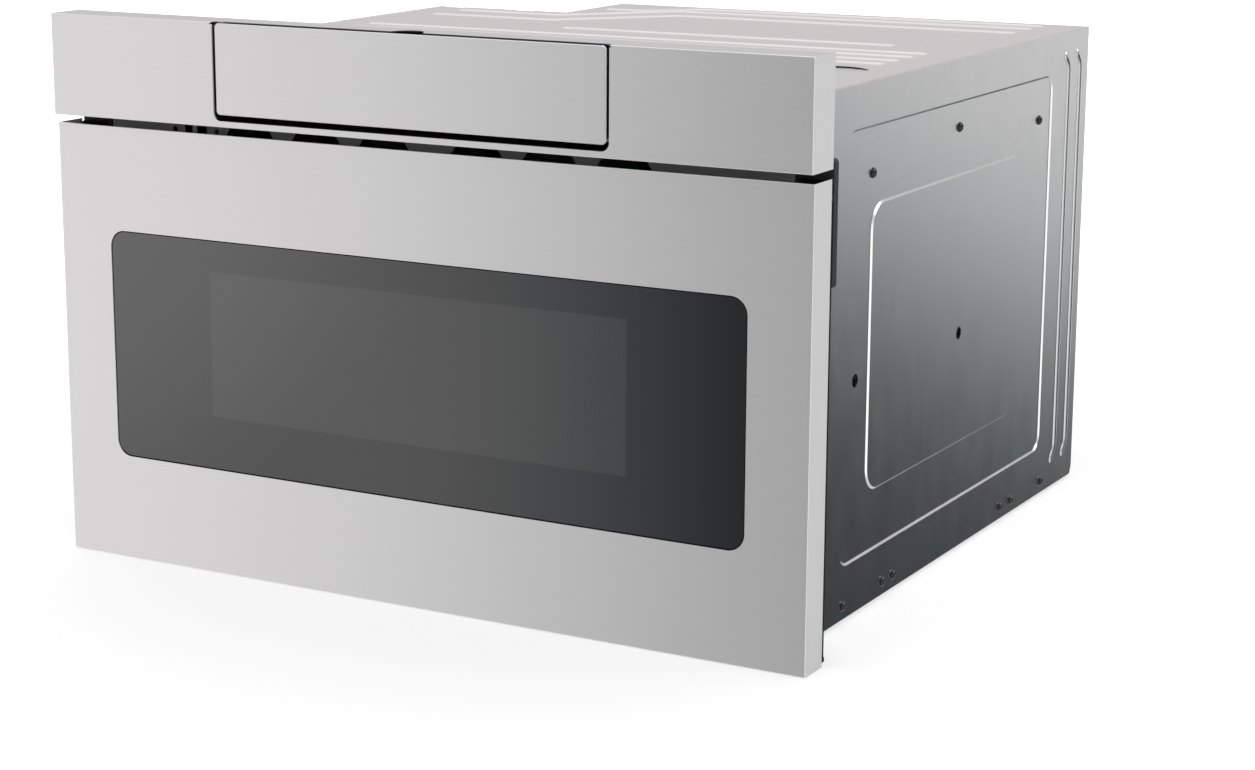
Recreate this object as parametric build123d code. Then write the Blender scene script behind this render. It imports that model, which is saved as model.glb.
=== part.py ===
from build123d import *
import os
from math import atan, cos, degrees, pi, radians, sin, sqrt, tan

# A built-in microwave drawer, in millimetres. X runs to the right, -Y is the front and Z is up.
# The origin is on the floor, under the middle of the outer box.

# ---- Overall size
WIDTH = 606.4
HEIGHT = 403.2
DEPTH = 584.6
FRONT = -DEPTH / 2
REAR = DEPTH / 2

# ---- Stock and clearances
CASE_SHEET = 1.0
SKIN_SHEET = 1.2
MOULD_WALL = 2.5
SEAT = 0.3
RUN = 0.5
PIN_FIT = 0.06
EDGE_RADIUS = 0.7

# ---- Trim across the top
TRIM_HEIGHT = 73.5
TRIM_DEPTH = 30.9
TRIM_BOTTOM = HEIGHT - TRIM_HEIGHT
TRIM_REAR = FRONT + TRIM_DEPTH
TRIM_CHEEK = 144.4
OPENING_WIDTH = WIDTH - 2 * TRIM_CHEEK
OPENING_SILL = 4.4
OPENING_BOTTOM = TRIM_BOTTOM + OPENING_SILL
OPENING_RADIUS = 6.0
SCOOP_WIDTH = 26.0
SCOOP_DEPTH = 17.0
TOP_NOTCH = 6.0
TOP_NOTCH_RADIUS = 4.0
UNDERCUT = 55.0

# ---- Tilting control panel
PANEL_SIDE_GAP = 2.6
PANEL_BOTTOM_GAP = 4.3
PANEL_TOP_GAP = 0.7
PANEL_SHEET = 1.5
PANEL_RADIUS = 3.0
PANEL_HALF = OPENING_WIDTH / 2 - PANEL_SIDE_GAP
PANEL_BOTTOM = OPENING_BOTTOM + PANEL_BOTTOM_GAP
PANEL_REAR = FRONT + PANEL_SHEET
POD_SIDE_STEP = 2.0
POD_HALF = PANEL_HALF - POD_SIDE_STEP
POD_DEPTH = 17.6
POD_BOTTOM = PANEL_BOTTOM + 2.0
POD_TOP_GAP = 4.7
POD_TOP = HEIGHT - POD_TOP_GAP
POD_WALL = 2.0
POD_FRONT = PANEL_REAR + SEAT
POD_REAR = POD_FRONT + POD_DEPTH
TOUCH_GLASS = 2.4
PIVOT_DEPTH = 5.0
PIVOT_RISE = 3.6
PIVOT_Y = FRONT + PIVOT_DEPTH
PIVOT_Z = PANEL_BOTTOM + PIVOT_RISE
PIVOT_RADIUS = 2.0
PIVOT_BOSS = 3.3
PIVOT_LENGTH = 20.0
STOP_RADIUS = 12.0
STOP_PEG_RADIUS = 2.0
STOP_START = 10.0
TILT_LIMIT = 45.0
BOARD = 1.6

# ---- Drawer front
FLOOR_GAP = 0.7
REVEAL = 6.1
FRONT_TOP = TRIM_BOTTOM - REVEAL
FRONT_SETBACK = 3.7
FRONT_DEPTH = 25.8
SKIN_FRONT = FRONT + FRONT_SETBACK
SKIN_REAR = SKIN_FRONT + FRONT_DEPTH
AIR_RECESS = 5.6
CHOKE_SHEET = 2.8
CHOKE_REAR = SKIN_REAR + CHOKE_SHEET
DOOR_GAP = 0.7
BODY_FRONT = CHOKE_REAR + DOOR_GAP

# ---- Window in the drawer front
WINDOW_SIDE = 45.9
WINDOW_CROWN = 76.9
WINDOW_BOTTOM = 79.4
WINDOW_WIDTH = WIDTH - 2 * WINDOW_SIDE
WINDOW_HEIGHT = FRONT_TOP - WINDOW_CROWN - WINDOW_BOTTOM
WINDOW_RADIUS = 11.5
WINDOW_GAP = 0.9
WINDOW_GLASS = 3.0
WINDOW_RECESS = 0.6
VIEW_SIDE = 87.3
VIEW_SILL = 38.6
VIEW_CROWN = 22.2
VIEW_WIDTH = WINDOW_WIDTH - 2 * VIEW_SIDE
VIEW_HEIGHT = WINDOW_HEIGHT - VIEW_SILL - VIEW_CROWN
VIEW_BOTTOM = WINDOW_BOTTOM + VIEW_SILL
VIEW_Z = VIEW_BOTTOM + VIEW_HEIGHT / 2
VIEW_RIM = 10.0
SCREEN_SHEET = 0.8
INNER_GLASS = 4.0

# ---- Case
BODY_INSET = 27.8
BODY_DROP = 30.9
BODY_LIFT = 2.5
BODY_WIDTH = WIDTH - 2 * BODY_INSET
BODY_HEIGHT = HEIGHT - BODY_DROP - BODY_LIFT
BODY_TOP = BODY_LIFT + BODY_HEIGHT
BODY_HALF = BODY_WIDTH / 2
CASE_HALF = BODY_HALF - CASE_SHEET
FRAME_REAR = BODY_FRONT + CASE_SHEET
STEP_DEPTH = 98.5
STEP_INSET = 123.1
STEP_X = -BODY_HALF + STEP_INSET
STEP_Y = REAR - STEP_DEPTH
PAN_FLANGE = 20.0
PRESS_DEPTH = 1.0
PRESS_SLOPE = 1.6
PRESS_WALL = degrees(atan(PRESS_SLOPE / PRESS_DEPTH))
FIELD_FRONT = 116.5
FIELD_REAR = DEPTH - 80.6
FIELD_BOTTOM = 41.0
FIELD_TOP = BODY_TOP - 31.5
FIELD_RADIUS = 13.0
FIELD_MARGIN = 24.0
ISLAND_FRONT = 159.5
ISLAND_MARGIN = 60.0
ISLAND_BOTTOM = 84.5
ISLAND_TOP = BODY_TOP - 85.3
ISLAND_RADIUS = 18.0
BEAD_WIDTH = 8.0
BEAD_HEIGHT = 1.2
BEAD_RADIUS = (BEAD_WIDTH ** 2 / 4 + BEAD_HEIGHT ** 2) / (2 * BEAD_HEIGHT)
BEAD_BEND = 12.0
SIDE_BEADS = (43.6, 17.6)
SIDE_BEAD_BOTTOM = 26.0
SIDE_BEAD_TOP = BODY_TOP - 19.3
SIDE_BEAD_HOOK = 7.0
HEM_RADIUS = 0.7
CORNER_CUT = 4.0
BEAD_INSET = 35.0
CROSS_BEADS = (338.6, 313.6, 286.6, 261.6)
SHORT_BEAD = 217.6
SHORT_BEAD_LEFT = 68.3
SHORT_BEAD_SET = 44.0
DOGLEG_BEADS = ((164.6, 82.1, 24.0), (123.6, 45.6, 8.0))
DOGLEG_LEAN = 0.9
REAR_BEAD = (18.0, 50.0, 90.0)
REAR_BEAD_LEFT = 54.6
REAR_BEAD_RIGHT = 19.6
SLIT_INSET = 40.0
SLIT_SETBACK = 370.6
SLIT_RADIUS = 12.5
SLIT_WIDTH = 2.0
TOP_HOOKS = (13.4, 83.4)
TOP_HOOK_WIDTH = 18.0
TOP_HOOK_DEPTH = 4.0
FOOT_RADIUS = 14.0
FOOT_FLARE = 4.0

# ---- Vent plate above the drawer
VENT_BOTTOM = TRIM_BOTTOM - 33.4
VENT_FLANGE = 14.0
VENT_SLOTS = 6
VENT_FIELD = WIDTH - 245.0
VENT_MIDDLE = 18.2
VENT_BRIDGE = 12.8
VENT_PITCH = (VENT_FIELD - VENT_MIDDLE) / VENT_SLOTS
VENT_SLOT_WIDTH = VENT_PITCH - VENT_BRIDGE
VENT_LEAN = 8.0
VENT_SHOULDER = 12.0
VENT_SLOT_HEIGHT = 24.0
VENT_SLOT_TOP = TRIM_BOTTOM - 1.0
VENT_SIDE_X = -VENT_FIELD / 2 - 19.3
VENT_SIDE_WIDTH = 19.8
VENT_PIN_HOLE = 2.0
VENT_PIN_SPREAD = 18.7
VENT_LAP = 0.5
VENT_PIN_DROP = 8.0

# ---- Dark brackets beside the body
BRACKET_TOP = TRIM_BOTTOM + 5.9
BRACKET_BOTTOM = BRACKET_TOP - 83.6
BRACKET_DEPTH = 6.6
BRACKET_GAP = 1.6
BRACKET_FOOT_DEPTH = 26.0
MOUNT_HOLE_RADIUS = 2.6
MOUNT_X = WIDTH / 2 - 12.2
MOUNT_SPACING = 44.0
BRACKET_Z = (BRACKET_BOTTOM + BRACKET_TOP) / 2

# ---- Food room, tray and oven cavity
SLIDE_ROOM = 57.1
FOOD_WIDTH = BODY_WIDTH - 2 * SLIDE_ROOM
FOOD_HEIGHT = BODY_HEIGHT - 190.4
FOOD_DEPTH = DEPTH - 170.3
TRAY_SHEET = 1.2
TRAY_BOTTOM = 70.0
TRAY_HEIGHT = FOOD_HEIGHT - 13.4
TRAY_RADIUS = 14.0
TRAY_RIM = 2.0
TRAY_RUN = 4.0
CERAMIC = 5.2
CERAMIC_GAP = 3.0
TRAY_HALF = FOOD_WIDTH / 2 + TRAY_SHEET
TRAY_FRONT = CHOKE_REAR + SEAT
TRAY_INNER_FRONT = TRAY_FRONT + TRAY_SHEET
TRAY_INNER_REAR = TRAY_INNER_FRONT + FOOD_DEPTH
TRAY_REAR = TRAY_INNER_REAR + TRAY_SHEET
TRAY_FLOOR = TRAY_BOTTOM + TRAY_SHEET
FOOD_FLOOR = TRAY_FLOOR + SEAT + CERAMIC
FOOD_CEILING = FOOD_FLOOR + FOOD_HEIGHT
TRAY_TOP = TRAY_BOTTOM + TRAY_HEIGHT
CAVITY_HALF = TRAY_HALF + TRAY_RIM + TRAY_RUN - 1.5
CAVITY_BOTTOM = TRAY_BOTTOM - TRAY_RUN
CAVITY_REAR = TRAY_REAR + TRAY_RUN + TRAY_RIM
STIRRER_ROOM = 16.0
CAVITY_CEILING = FOOD_CEILING + STIRRER_ROOM
CAVITY_FRONT = FRAME_REAR + SEAT
CAVITY_ROOF = CAVITY_CEILING + CASE_SHEET
ROOF_SEAT = CAVITY_ROOF + SEAT
STIRRER_Y = (CAVITY_FRONT + CAVITY_REAR) / 2

# ---- Telescopic slides
SLIDE_SHEET = 1.5
SLIDE_HEIGHT = 46.0
SLIDE_FLANGE = 12.0
SLIDE_OVERLAP = 249.5
SLIDE_END_GAP = 7.1
SLIDE_Z = TRAY_TOP - 67.5
SLIDE_BACK_GAP = 0.2
SLIDE_FACE = CASE_HALF - PRESS_DEPTH - SLIDE_BACK_GAP
SLIDE_FRONT = FRAME_REAR + 5.0
SLIDE_LENGTH = STEP_Y - SLIDE_END_GAP - SLIDE_FRONT
TRAVEL = 2 * (SLIDE_LENGTH - SLIDE_OVERLAP)
SLIDE_STEP = SLIDE_SHEET + RUN

# ---- Rack, pinion and drive motor
MODULE = 2.0
PINION_TEETH = 18
PRESSURE_ANGLE = 20.0
BACKLASH = 0.2
ADDENDUM = 0.8 * MODULE
DEDENDUM = 1.1 * MODULE
PITCH = pi * MODULE
PITCH_RADIUS = MODULE * PINION_TEETH / 2
RACK_PITCH_X = 10.0
RACK_WIDTH = 10.0
RACK_BOTTOM = 44.0
RACK_HEIGHT = 12.0
PINION_X = RACK_PITCH_X + PITCH_RADIUS
PINION_SETBACK = 32.0
PINION_Y = FRAME_REAR + PINION_SETBACK
RACK_FRONT = CHOKE_REAR + SEAT
RACK_SPARE = 2.5 * PITCH
RACK_LENGTH = PINION_Y - RACK_FRONT + TRAVEL + RACK_SPARE
PINION_SHAFT = 4.0
HOOK_REACH = 19.0
HOOK_ARM = 6.0
SWITCH_DEPTH = 34.0
SWITCH_HEIGHT = 43.0
SWITCH_POCKET = 24.0
GEARBOX_WIDTH = 64.0
GEARBOX_DEPTH = 46.0
GEARBOX_HEIGHT = 22.0
GEARBOX_LEFT = PINION_X - 18.0
MOTOR_CAN = 52.0

# ---- Screws and side holes
SCREW_HEAD = 3.8
SCREW_HEIGHT = 2.2
SCREW_SHANK = 1.9
SCREW_LENGTH = 7.0
SCREW_PLAY = 0.2
RAIL_BOTTOM = BODY_TOP - 74.3
RAIL_HEIGHT = 34.0
RAIL_FLANGE = 14.0
UPPER_SCREWS = [(159.9, 10.6), (DEPTH - 269.9, 24.0), (DEPTH - 105.9, 10.6)]
LOWER_SCREWS = [123.3, 191.2, 210.1, DEPTH - 164.2, DEPTH - 141.1, DEPTH - 74.0]
LOWER_SCREW_Z = 12.4
ACCESS_HOLES = [138.3, 323.0]
ACCESS_RADIUS = 4.7
REAR_SLIDE_HOLE = DEPTH - 144.6
BUFFER_Z = FRONT_TOP - 12.6
BUFFER_HEIGHT = 4.4

# ---- Machine compartment
FAN_X = STEP_X + 66.3
FAN_Z = ROOF_SEAT - 59.4
FAN_RADIUS = 50.0
FAN_TIP_GAP = 3.0
FAN_HUB = 15.0
FAN_WIDTH = 22.0
FAN_BLADES = 5
FAN_SHAFT = 3.0
FAN_SOCKET = 12.0
FAN_CHORDS = (20.0, 28.0, 32.0)
FAN_BLADE_SHEET = 1.6
GUIDE_WIDTH = 90.0
GUIDE_HEIGHT = 40.0
MAGNETRON_BODY = 84.0
MAGNETRON_DEPTH = 68.0
MAGNETRON_HEIGHT = 72.0
MAGNETRON_FINS = 7
MAGNETRON_FILTER = 34.0
CAPACITOR_X = CASE_HALF - 36.4
TRANSFORMER_X = CAPACITOR_X - 82.0
TRANSFORMER_WIDTH = 92.0
TRANSFORMER_HEIGHT = 76.0
TRANSFORMER_STACK = 52.0
TRANSFORMER_WINDOW = 22.0
TRANSFORMER_FOOT = 3.0
COIL_OVERHANG = 16.0
CAPACITOR_WIDTH = 34.0
CAPACITOR_LENGTH = 54.0
CAPACITOR_HEIGHT = 96.0
FILTER_X = TRANSFORMER_X + 14.0
FILTER_Z = ROOF_SEAT - 29.4
FILTER_WIDTH = 120.0
FILTER_HEIGHT = 96.0
FILTER_STAND = 12.0
BOARD_TRAY_LEFT = 62.0
BOARD_TRAY_SETBACK = 22.0
BOARD_TRAY_DEPTH = 120.0
BOARD_STAND = 8.0
DUCT_HALF = 70.0
DUCT_LENGTH = 110.0
CORD_BUSH_RADIUS = 10.0
CORD_RADIUS = 4.2
CORD_Z = 46.0
PAN_RIB_PITCH = 100.0
PAN_RIBS = 3
INLET_SLOTS = 5
INLET_PITCH = 32.0
STIRRER_RADIUS = 72.0
STIRRER_SHAFT = 3.0
STIRRER_MOTOR_RADIUS = 25.0
STIRRER_MOTOR_HEIGHT = 18.0
STIRRER_SOCKET = 8.0
COVER_HALF = 110.0
COVER_SHEET = 1.6
REAR_ROOM_FRONT = CAVITY_REAR + CASE_SHEET
REAR_ROOM_REAR = REAR - CASE_SHEET
REAR_ROOM_Y = (REAR_ROOM_FRONT + REAR_ROOM_REAR) / 2
FLOOR_TOP = BODY_LIFT + CASE_SHEET
FLOOR_SEAT = FLOOR_TOP + SEAT


def block(x0, x1, y0, y1, z0, z1):
    """A rectangular solid between two opposite corners."""
    return Pos((x0 + x1) / 2, (y0 + y1) / 2, (z0 + z1) / 2) * Box(x1 - x0, y1 - y0, z1 - z0)


def frame_rect(a0, a1, b0, b1, radius=0.0):
    """A flat rectangle between two corners, with round corners if a radius is given."""
    centre = Pos((a0 + a1) / 2, (b0 + b1) / 2)
    if radius > 0:
        return centre * RectangleRounded(a1 - a0, b1 - b0, radius)
    return centre * Rectangle(a1 - a0, b1 - b0)


def facing_front(outline, y0, y1, taper=0):
    """An outline drawn in X and Z, extruded from depth y0 to y1; a taper narrows it to the front."""
    return extrude(Plane.XZ.offset(-y1) * outline, y1 - y0, taper=taper)


def facing_side(outline, x0, x1, taper=0):
    """An outline drawn in Y and Z, extruded from x0 to x1; a taper narrows it to the right."""
    return extrude(Plane.YZ.offset(x0) * outline, x1 - x0, taper=taper)


def facing_up(outline, z0, z1, taper=0):
    """An outline drawn in X and Y, extruded from z0 to z1; a taper narrows it to the top."""
    return extrude(Plane.XY.offset(z0) * outline, z1 - z0, taper=taper)


def rod_x(radius, x0, x1, y, z):
    return facing_side(Pos(y, z) * Circle(radius), x0, x1)


def rod_y(radius, y0, y1, x, z):
    return facing_front(Pos(x, z) * Circle(radius), y0, y1)


def rod_z(radius, z0, z1, x, y):
    return facing_up(Pos(x, y) * Circle(radius), z0, z1)


def mirrored(shape):
    """The same piece on the other side of the drawer."""
    return mirror(shape, about=Plane.YZ)


def both_sides(shape):
    return shape + mirrored(shape)


# ---------------------------------------------------------------- trim and tilting control panel
def top_trim():
    """Folded stainless fascia, open behind, with the control panel's opening and a finger scoop; the sheet's
    top edge behind the panel is undercut."""
    half = WIDTH / 2
    shell = block(-half, half, FRONT, TRIM_REAR, TRIM_BOTTOM, HEIGHT)
    shell = fillet(shell.edges().group_by(Axis.Y)[0], EDGE_RADIUS)
    shell -= block(-half + SKIN_SHEET, half - SKIN_SHEET, FRONT + SKIN_SHEET, TRIM_REAR + 1,
                   TRIM_BOTTOM + SKIN_SHEET, HEIGHT - SKIN_SHEET)
    opening = frame_rect(-OPENING_WIDTH / 2, OPENING_WIDTH / 2, OPENING_BOTTOM, HEIGHT + TRIM_HEIGHT,
                         OPENING_RADIUS)
    shell -= facing_front(opening, FRONT - 1, FRONT + SKIN_SHEET + SEAT)
    notch = frame_rect(-OPENING_WIDTH / 2, OPENING_WIDTH / 2, FRONT - TOP_NOTCH, FRONT + TOP_NOTCH,
                       TOP_NOTCH_RADIUS)
    notch += Pos(0, PANEL_REAR) * Ellipse(SCOOP_WIDTH / 2, SCOOP_DEPTH)
    shell -= facing_up(notch, HEIGHT - SKIN_SHEET, HEIGHT + 1)
    return shell - extrude(Plane.XY.offset(HEIGHT) * notch, -SKIN_SHEET - SEAT, taper=-UNDERCUT)


def trim_backing_frame():
    """Dark moulding behind the trim: outer walls and ribs, the panel's recess and its pivot bearings."""
    x_out = WIDTH / 2 - SKIN_SHEET - SEAT
    z_low = TRIM_BOTTOM + SKIN_SHEET + SEAT
    z_high = HEIGHT - SKIN_SHEET - SEAT
    y_front = FRONT + SKIN_SHEET + SEAT
    y_rear = BODY_FRONT - SEAT
    y_back = y_rear - MOULD_WALL
    cheek_in = OPENING_WIDTH / 2
    cheek_out = cheek_in + MOULD_WALL
    walls = frame_rect(-x_out, x_out, z_low, z_high)
    walls -= frame_rect(-x_out + MOULD_WALL, x_out - MOULD_WALL, z_low + MOULD_WALL, z_high - MOULD_WALL)
    rib_count = 3
    rib_pitch = (x_out - cheek_out) / (rib_count + 1)
    for side in (-1, 1):
        cheek = side * (cheek_in + MOULD_WALL / 2)
        walls += Pos(cheek, (z_low + z_high) / 2) * Rectangle(MOULD_WALL, z_high - z_low)
        for number in range(1, rib_count + 1):
            rib_x = side * (cheek_out + number * rib_pitch)
            walls += Pos(rib_x, (z_low + z_high) / 2) * Rectangle(MOULD_WALL / 2, z_high - z_low)
    walls -= frame_rect(-cheek_in, cheek_in, OPENING_BOTTOM - SEAT, z_high + 1)
    frame = facing_front(walls, y_front, y_back)
    back_half = x_out - 2.5 * MOULD_WALL
    frame += block(-back_half, back_half, y_back, y_rear, z_low, z_high)
    bearing = rod_x(PIVOT_BOSS, cheek_in, cheek_out + 2 * MOULD_WALL, PIVOT_Y, PIVOT_Z)
    frame += both_sides(bearing)
    bore = rod_x(PIVOT_RADIUS + PIN_FIT, cheek_in - 1, cheek_out + 2 * MOULD_WALL + 1, PIVOT_Y, PIVOT_Z)
    stop_slot = stop_slot_outline(STOP_PEG_RADIUS + SEAT)
    slot = facing_side(stop_slot, cheek_in - 1, cheek_out + 1)
    frame -= both_sides(bore + slot)
    return frame


def stop_slot_outline(half_width):
    """The curved slot that the control panel's stop pegs run in, drawn in Y and Z about the pivot."""
    steps = 5
    outline = None
    for number in range(steps + 1):
        angle = radians(STOP_START + TILT_LIMIT * number / steps)
        dot = Pos(PIVOT_Y + STOP_RADIUS * cos(angle), PIVOT_Z + STOP_RADIUS * sin(angle)) * Circle(half_width)
        outline = dot if outline is None else outline + dot
    ring = Circle(STOP_RADIUS + half_width) - Circle(STOP_RADIUS - half_width)
    reach = 3 * STOP_RADIUS
    start = radians(STOP_START)
    end = radians(STOP_START + TILT_LIMIT)
    wedge = Polygon((0, 0), (reach * cos(start), reach * sin(start)), (reach * cos(end), reach * sin(end)),
                    align=None)
    return outline + Pos(PIVOT_Y, PIVOT_Z) * (ring & wedge)


def control_panel_face():
    """Stainless plate that closes the trim's opening and tilts out on its lower edge."""
    outline = frame_rect(-PANEL_HALF, PANEL_HALF, PANEL_BOTTOM, HEIGHT - PANEL_TOP_GAP, PANEL_RADIUS)
    plate = facing_front(outline, FRONT, PANEL_REAR)
    return fillet(plate.edges().group_by(Axis.Y)[0], EDGE_RADIUS)


def pod_housing():
    """Moulded box behind the plate, open to the rear, with pivot bosses, stop pegs and a finger pocket."""
    outline = frame_rect(-POD_HALF, POD_HALF, POD_BOTTOM, POD_TOP, POD_WALL)
    inner = frame_rect(-POD_HALF + POD_WALL, POD_HALF - POD_WALL, POD_BOTTOM + POD_WALL, POD_TOP - POD_WALL)
    housing = facing_front(outline, POD_FRONT, POD_REAR)
    housing -= facing_front(inner, POD_FRONT + POD_WALL, POD_REAR + 1)
    pocket_half = SCOOP_WIDTH / 2 + 2
    pocket_bottom = POD_TOP - 12
    pocket_rear = POD_FRONT + SCOOP_DEPTH - 2
    housing += block(-pocket_half - POD_WALL, pocket_half + POD_WALL, POD_FRONT, pocket_rear + POD_WALL / 2,
                     pocket_bottom - POD_WALL, POD_TOP)
    housing -= block(-pocket_half, pocket_half, POD_FRONT - 1, pocket_rear, pocket_bottom, POD_TOP + 1)
    boss_in = POD_HALF - PIVOT_LENGTH / 2
    housing += both_sides(rod_x(PIVOT_BOSS, boss_in, POD_HALF, PIVOT_Y, PIVOT_Z)
                          & block(boss_in, POD_HALF, POD_FRONT, POD_REAR, POD_BOTTOM, POD_TOP))
    housing -= both_sides(rod_x(PIVOT_RADIUS + PIN_FIT, boss_in - 1, POD_HALF + 1, PIVOT_Y, PIVOT_Z))
    peg_y = PIVOT_Y + STOP_RADIUS * cos(radians(STOP_START))
    peg_z = PIVOT_Z + STOP_RADIUS * sin(radians(STOP_START))
    peg_end = OPENING_WIDTH / 2 + MOULD_WALL
    housing += both_sides(rod_x(STOP_PEG_RADIUS, POD_HALF - POD_WALL, peg_end, peg_y, peg_z))
    for x in board_post_places():
        housing += rod_y(3.0, POD_FRONT + POD_WALL / 2, board_front() - SEAT, x, POD_BOTTOM + 14)
    return housing


def board_post_places():
    return [side * POD_HALF * share for side in (-1, 1) for share in (0.2, 0.55, 0.9)]


def board_front():
    return POD_REAR - 3 * BOARD - SEAT


def control_board():
    """Circuit board of the touch controls, with the display block that meets the glass."""
    low = POD_BOTTOM + POD_WALL + RUN
    high = POD_TOP - POD_WALL - 14
    half = POD_HALF - POD_WALL - RUN
    board = block(-half, half, board_front(), board_front() + BOARD, low, high)
    display_half = 36.0
    board += block(-display_half, display_half, board_front() + BOARD, POD_REAR - SEAT, low + 12, high - 6)
    return board


def control_glass():
    """Touch glass on the back of the pod, which faces up when the panel is tilted out."""
    outline = frame_rect(-POD_HALF + RUN, POD_HALF - RUN, POD_BOTTOM + RUN, POD_TOP - RUN, POD_WALL)
    return facing_front(outline, POD_REAR + SEAT, POD_REAR + SEAT + TOUCH_GLASS)


def pod_pivot_pins():
    """Two steel pins that carry the control panel in the bearings of the backing frame."""
    inner = POD_HALF - PIVOT_LENGTH / 2
    outer = OPENING_WIDTH / 2 + 3 * MOULD_WALL
    return both_sides(rod_x(PIVOT_RADIUS, inner, outer, PIVOT_Y, PIVOT_Z))


# ---------------------------------------------------------------- drawer front
def window_outline(grow=0.0):
    half = WINDOW_WIDTH / 2 + grow
    return frame_rect(-half, half, WINDOW_BOTTOM - grow, WINDOW_BOTTOM + WINDOW_HEIGHT + grow,
                      WINDOW_RADIUS + grow)


def view_outline(grow=0.0, radius=3.0):
    half = VIEW_WIDTH / 2 + grow
    return frame_rect(-half, half, VIEW_BOTTOM - grow, VIEW_BOTTOM + VIEW_HEIGHT + grow, radius)


def drawer_front_skin():
    """Folded stainless front: face, two side returns and a bottom return, open at the top for air."""
    half = WIDTH / 2
    skin = block(-half, half, SKIN_FRONT, SKIN_REAR, FLOOR_GAP, FRONT_TOP)
    skin = fillet(skin.edges().group_by(Axis.Y)[0], EDGE_RADIUS)
    skin -= block(-half + SKIN_SHEET, half - SKIN_SHEET, SKIN_FRONT + SKIN_SHEET, SKIN_REAR + 1,
                  FLOOR_GAP + SKIN_SHEET, FRONT_TOP + 1)
    return skin - facing_front(window_outline(WINDOW_GAP), SKIN_FRONT - 1, SKIN_FRONT + SKIN_SHEET + 1)


def window_glass():
    """Dark outer glass, a little below the stainless face."""
    glass_front = SKIN_FRONT + WINDOW_RECESS
    return facing_front(window_outline(), glass_front, glass_front + WINDOW_GLASS)


def core_web_front():
    return SKIN_FRONT + WINDOW_RECESS + WINDOW_GLASS + SEAT


def drawer_front_core():
    """Moulded frame in the skin: a web that carries the glass, outer walls, a window wall and ribs."""
    x_out = WIDTH / 2 - SKIN_SHEET - SEAT
    z_low = FLOOR_GAP + SKIN_SHEET + SEAT
    z_high = FRONT_TOP - AIR_RECESS
    y_rear = SKIN_REAR - SEAT
    web_rear = core_web_front() + MOULD_WALL
    outer = frame_rect(-x_out, x_out, z_low, z_high)
    inner = frame_rect(-x_out + MOULD_WALL, x_out - MOULD_WALL, z_low + MOULD_WALL, z_high - MOULD_WALL)
    core = facing_front(outer - inner, SKIN_FRONT + SKIN_SHEET + SEAT, y_rear)
    core += facing_front(outer - view_outline(2.0), core_web_front(), web_rear)
    window_wall = view_outline(VIEW_RIM + MOULD_WALL) - view_outline(VIEW_RIM)
    ribs = Sketch()
    for x in (-WIDTH / 3, -WIDTH / 8, WIDTH / 8, WIDTH / 3):
        ribs += Pos(x, (z_low + z_high) / 2) * Rectangle(MOULD_WALL, z_high - z_low)
    for z in (VIEW_BOTTOM - 2 * VIEW_RIM, VIEW_BOTTOM + VIEW_HEIGHT + 2 * VIEW_RIM):
        ribs += Pos(0, z) * Rectangle(2 * x_out, MOULD_WALL)
    ribs -= view_outline(VIEW_RIM + MOULD_WALL / 2)
    return core + facing_front(window_wall + ribs, web_rear, y_rear)


def viewing_screen():
    """Perforated steel screen behind the web's window."""
    front = core_web_front() + MOULD_WALL + SEAT
    return facing_front(view_outline(VIEW_RIM - RUN), front, front + SCREEN_SHEET)


def inner_glass():
    """Clear glass between the screen and the food."""
    rear = SKIN_REAR - SEAT
    return facing_front(view_outline(VIEW_RIM - RUN), rear - INNER_GLASS, rear)


def choke_frame():
    """Black plate on the back of the drawer front, with a groove round the oven's mouth and a notch at
    each buffer."""
    x_out = WIDTH / 2 - 0.7
    plate_bottom = FLOOR_GAP + 2.3
    plate = facing_front(frame_rect(-x_out, x_out, plate_bottom, FRONT_TOP - 1.5, MOULD_WALL), SKIN_REAR,
                         CHOKE_REAR)
    air_half = BODY_HALF + 6.0
    plate -= block(-air_half, air_half, SKIN_REAR - 1, CHOKE_REAR + 1, FRONT_TOP - AIR_RECESS - 2, FRONT_TOP)
    plate -= facing_front(view_outline(2.0), SKIN_REAR - 1, CHOKE_REAR + 1)
    groove_width = 5.0
    mouth_half = CAVITY_HALF + groove_width
    groove = frame_rect(-mouth_half - groove_width, mouth_half + groove_width,
                        CAVITY_BOTTOM - 2 * groove_width, CAVITY_CEILING + 2 * groove_width, 2 * groove_width)
    groove -= frame_rect(-mouth_half, mouth_half, CAVITY_BOTTOM - groove_width,
                         CAVITY_CEILING + groove_width, groove_width)
    plate -= facing_front(groove, CHOKE_REAR - CHOKE_SHEET / 2, CHOKE_REAR + 1)
    for x, z in tray_screw_places():
        plate -= rod_y(SCREW_SHANK + SCREW_PLAY, SKIN_REAR - 1, CHOKE_REAR + 1, x, z)
    notch_half = BUFFER_HEIGHT / 2 + SEAT
    buffer = frame_rect(WIDTH / 2 - 2 * MOULD_WALL - 2 * SEAT, WIDTH / 2 + 1, BUFFER_Z - notch_half,
                        BUFFER_Z + notch_half)
    return plate - both_sides(facing_front(buffer, SKIN_REAR - 1, CHOKE_REAR + 1))


# ---------------------------------------------------------------- drawer tray
def tray_screw_places():
    x = TRAY_HALF - TRAY_RADIUS - 10
    return [(side * x, z) for side in (-1, 1) for z in (VIEW_BOTTOM - 12, VIEW_Z, TRAY_TOP - 14)]


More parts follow.
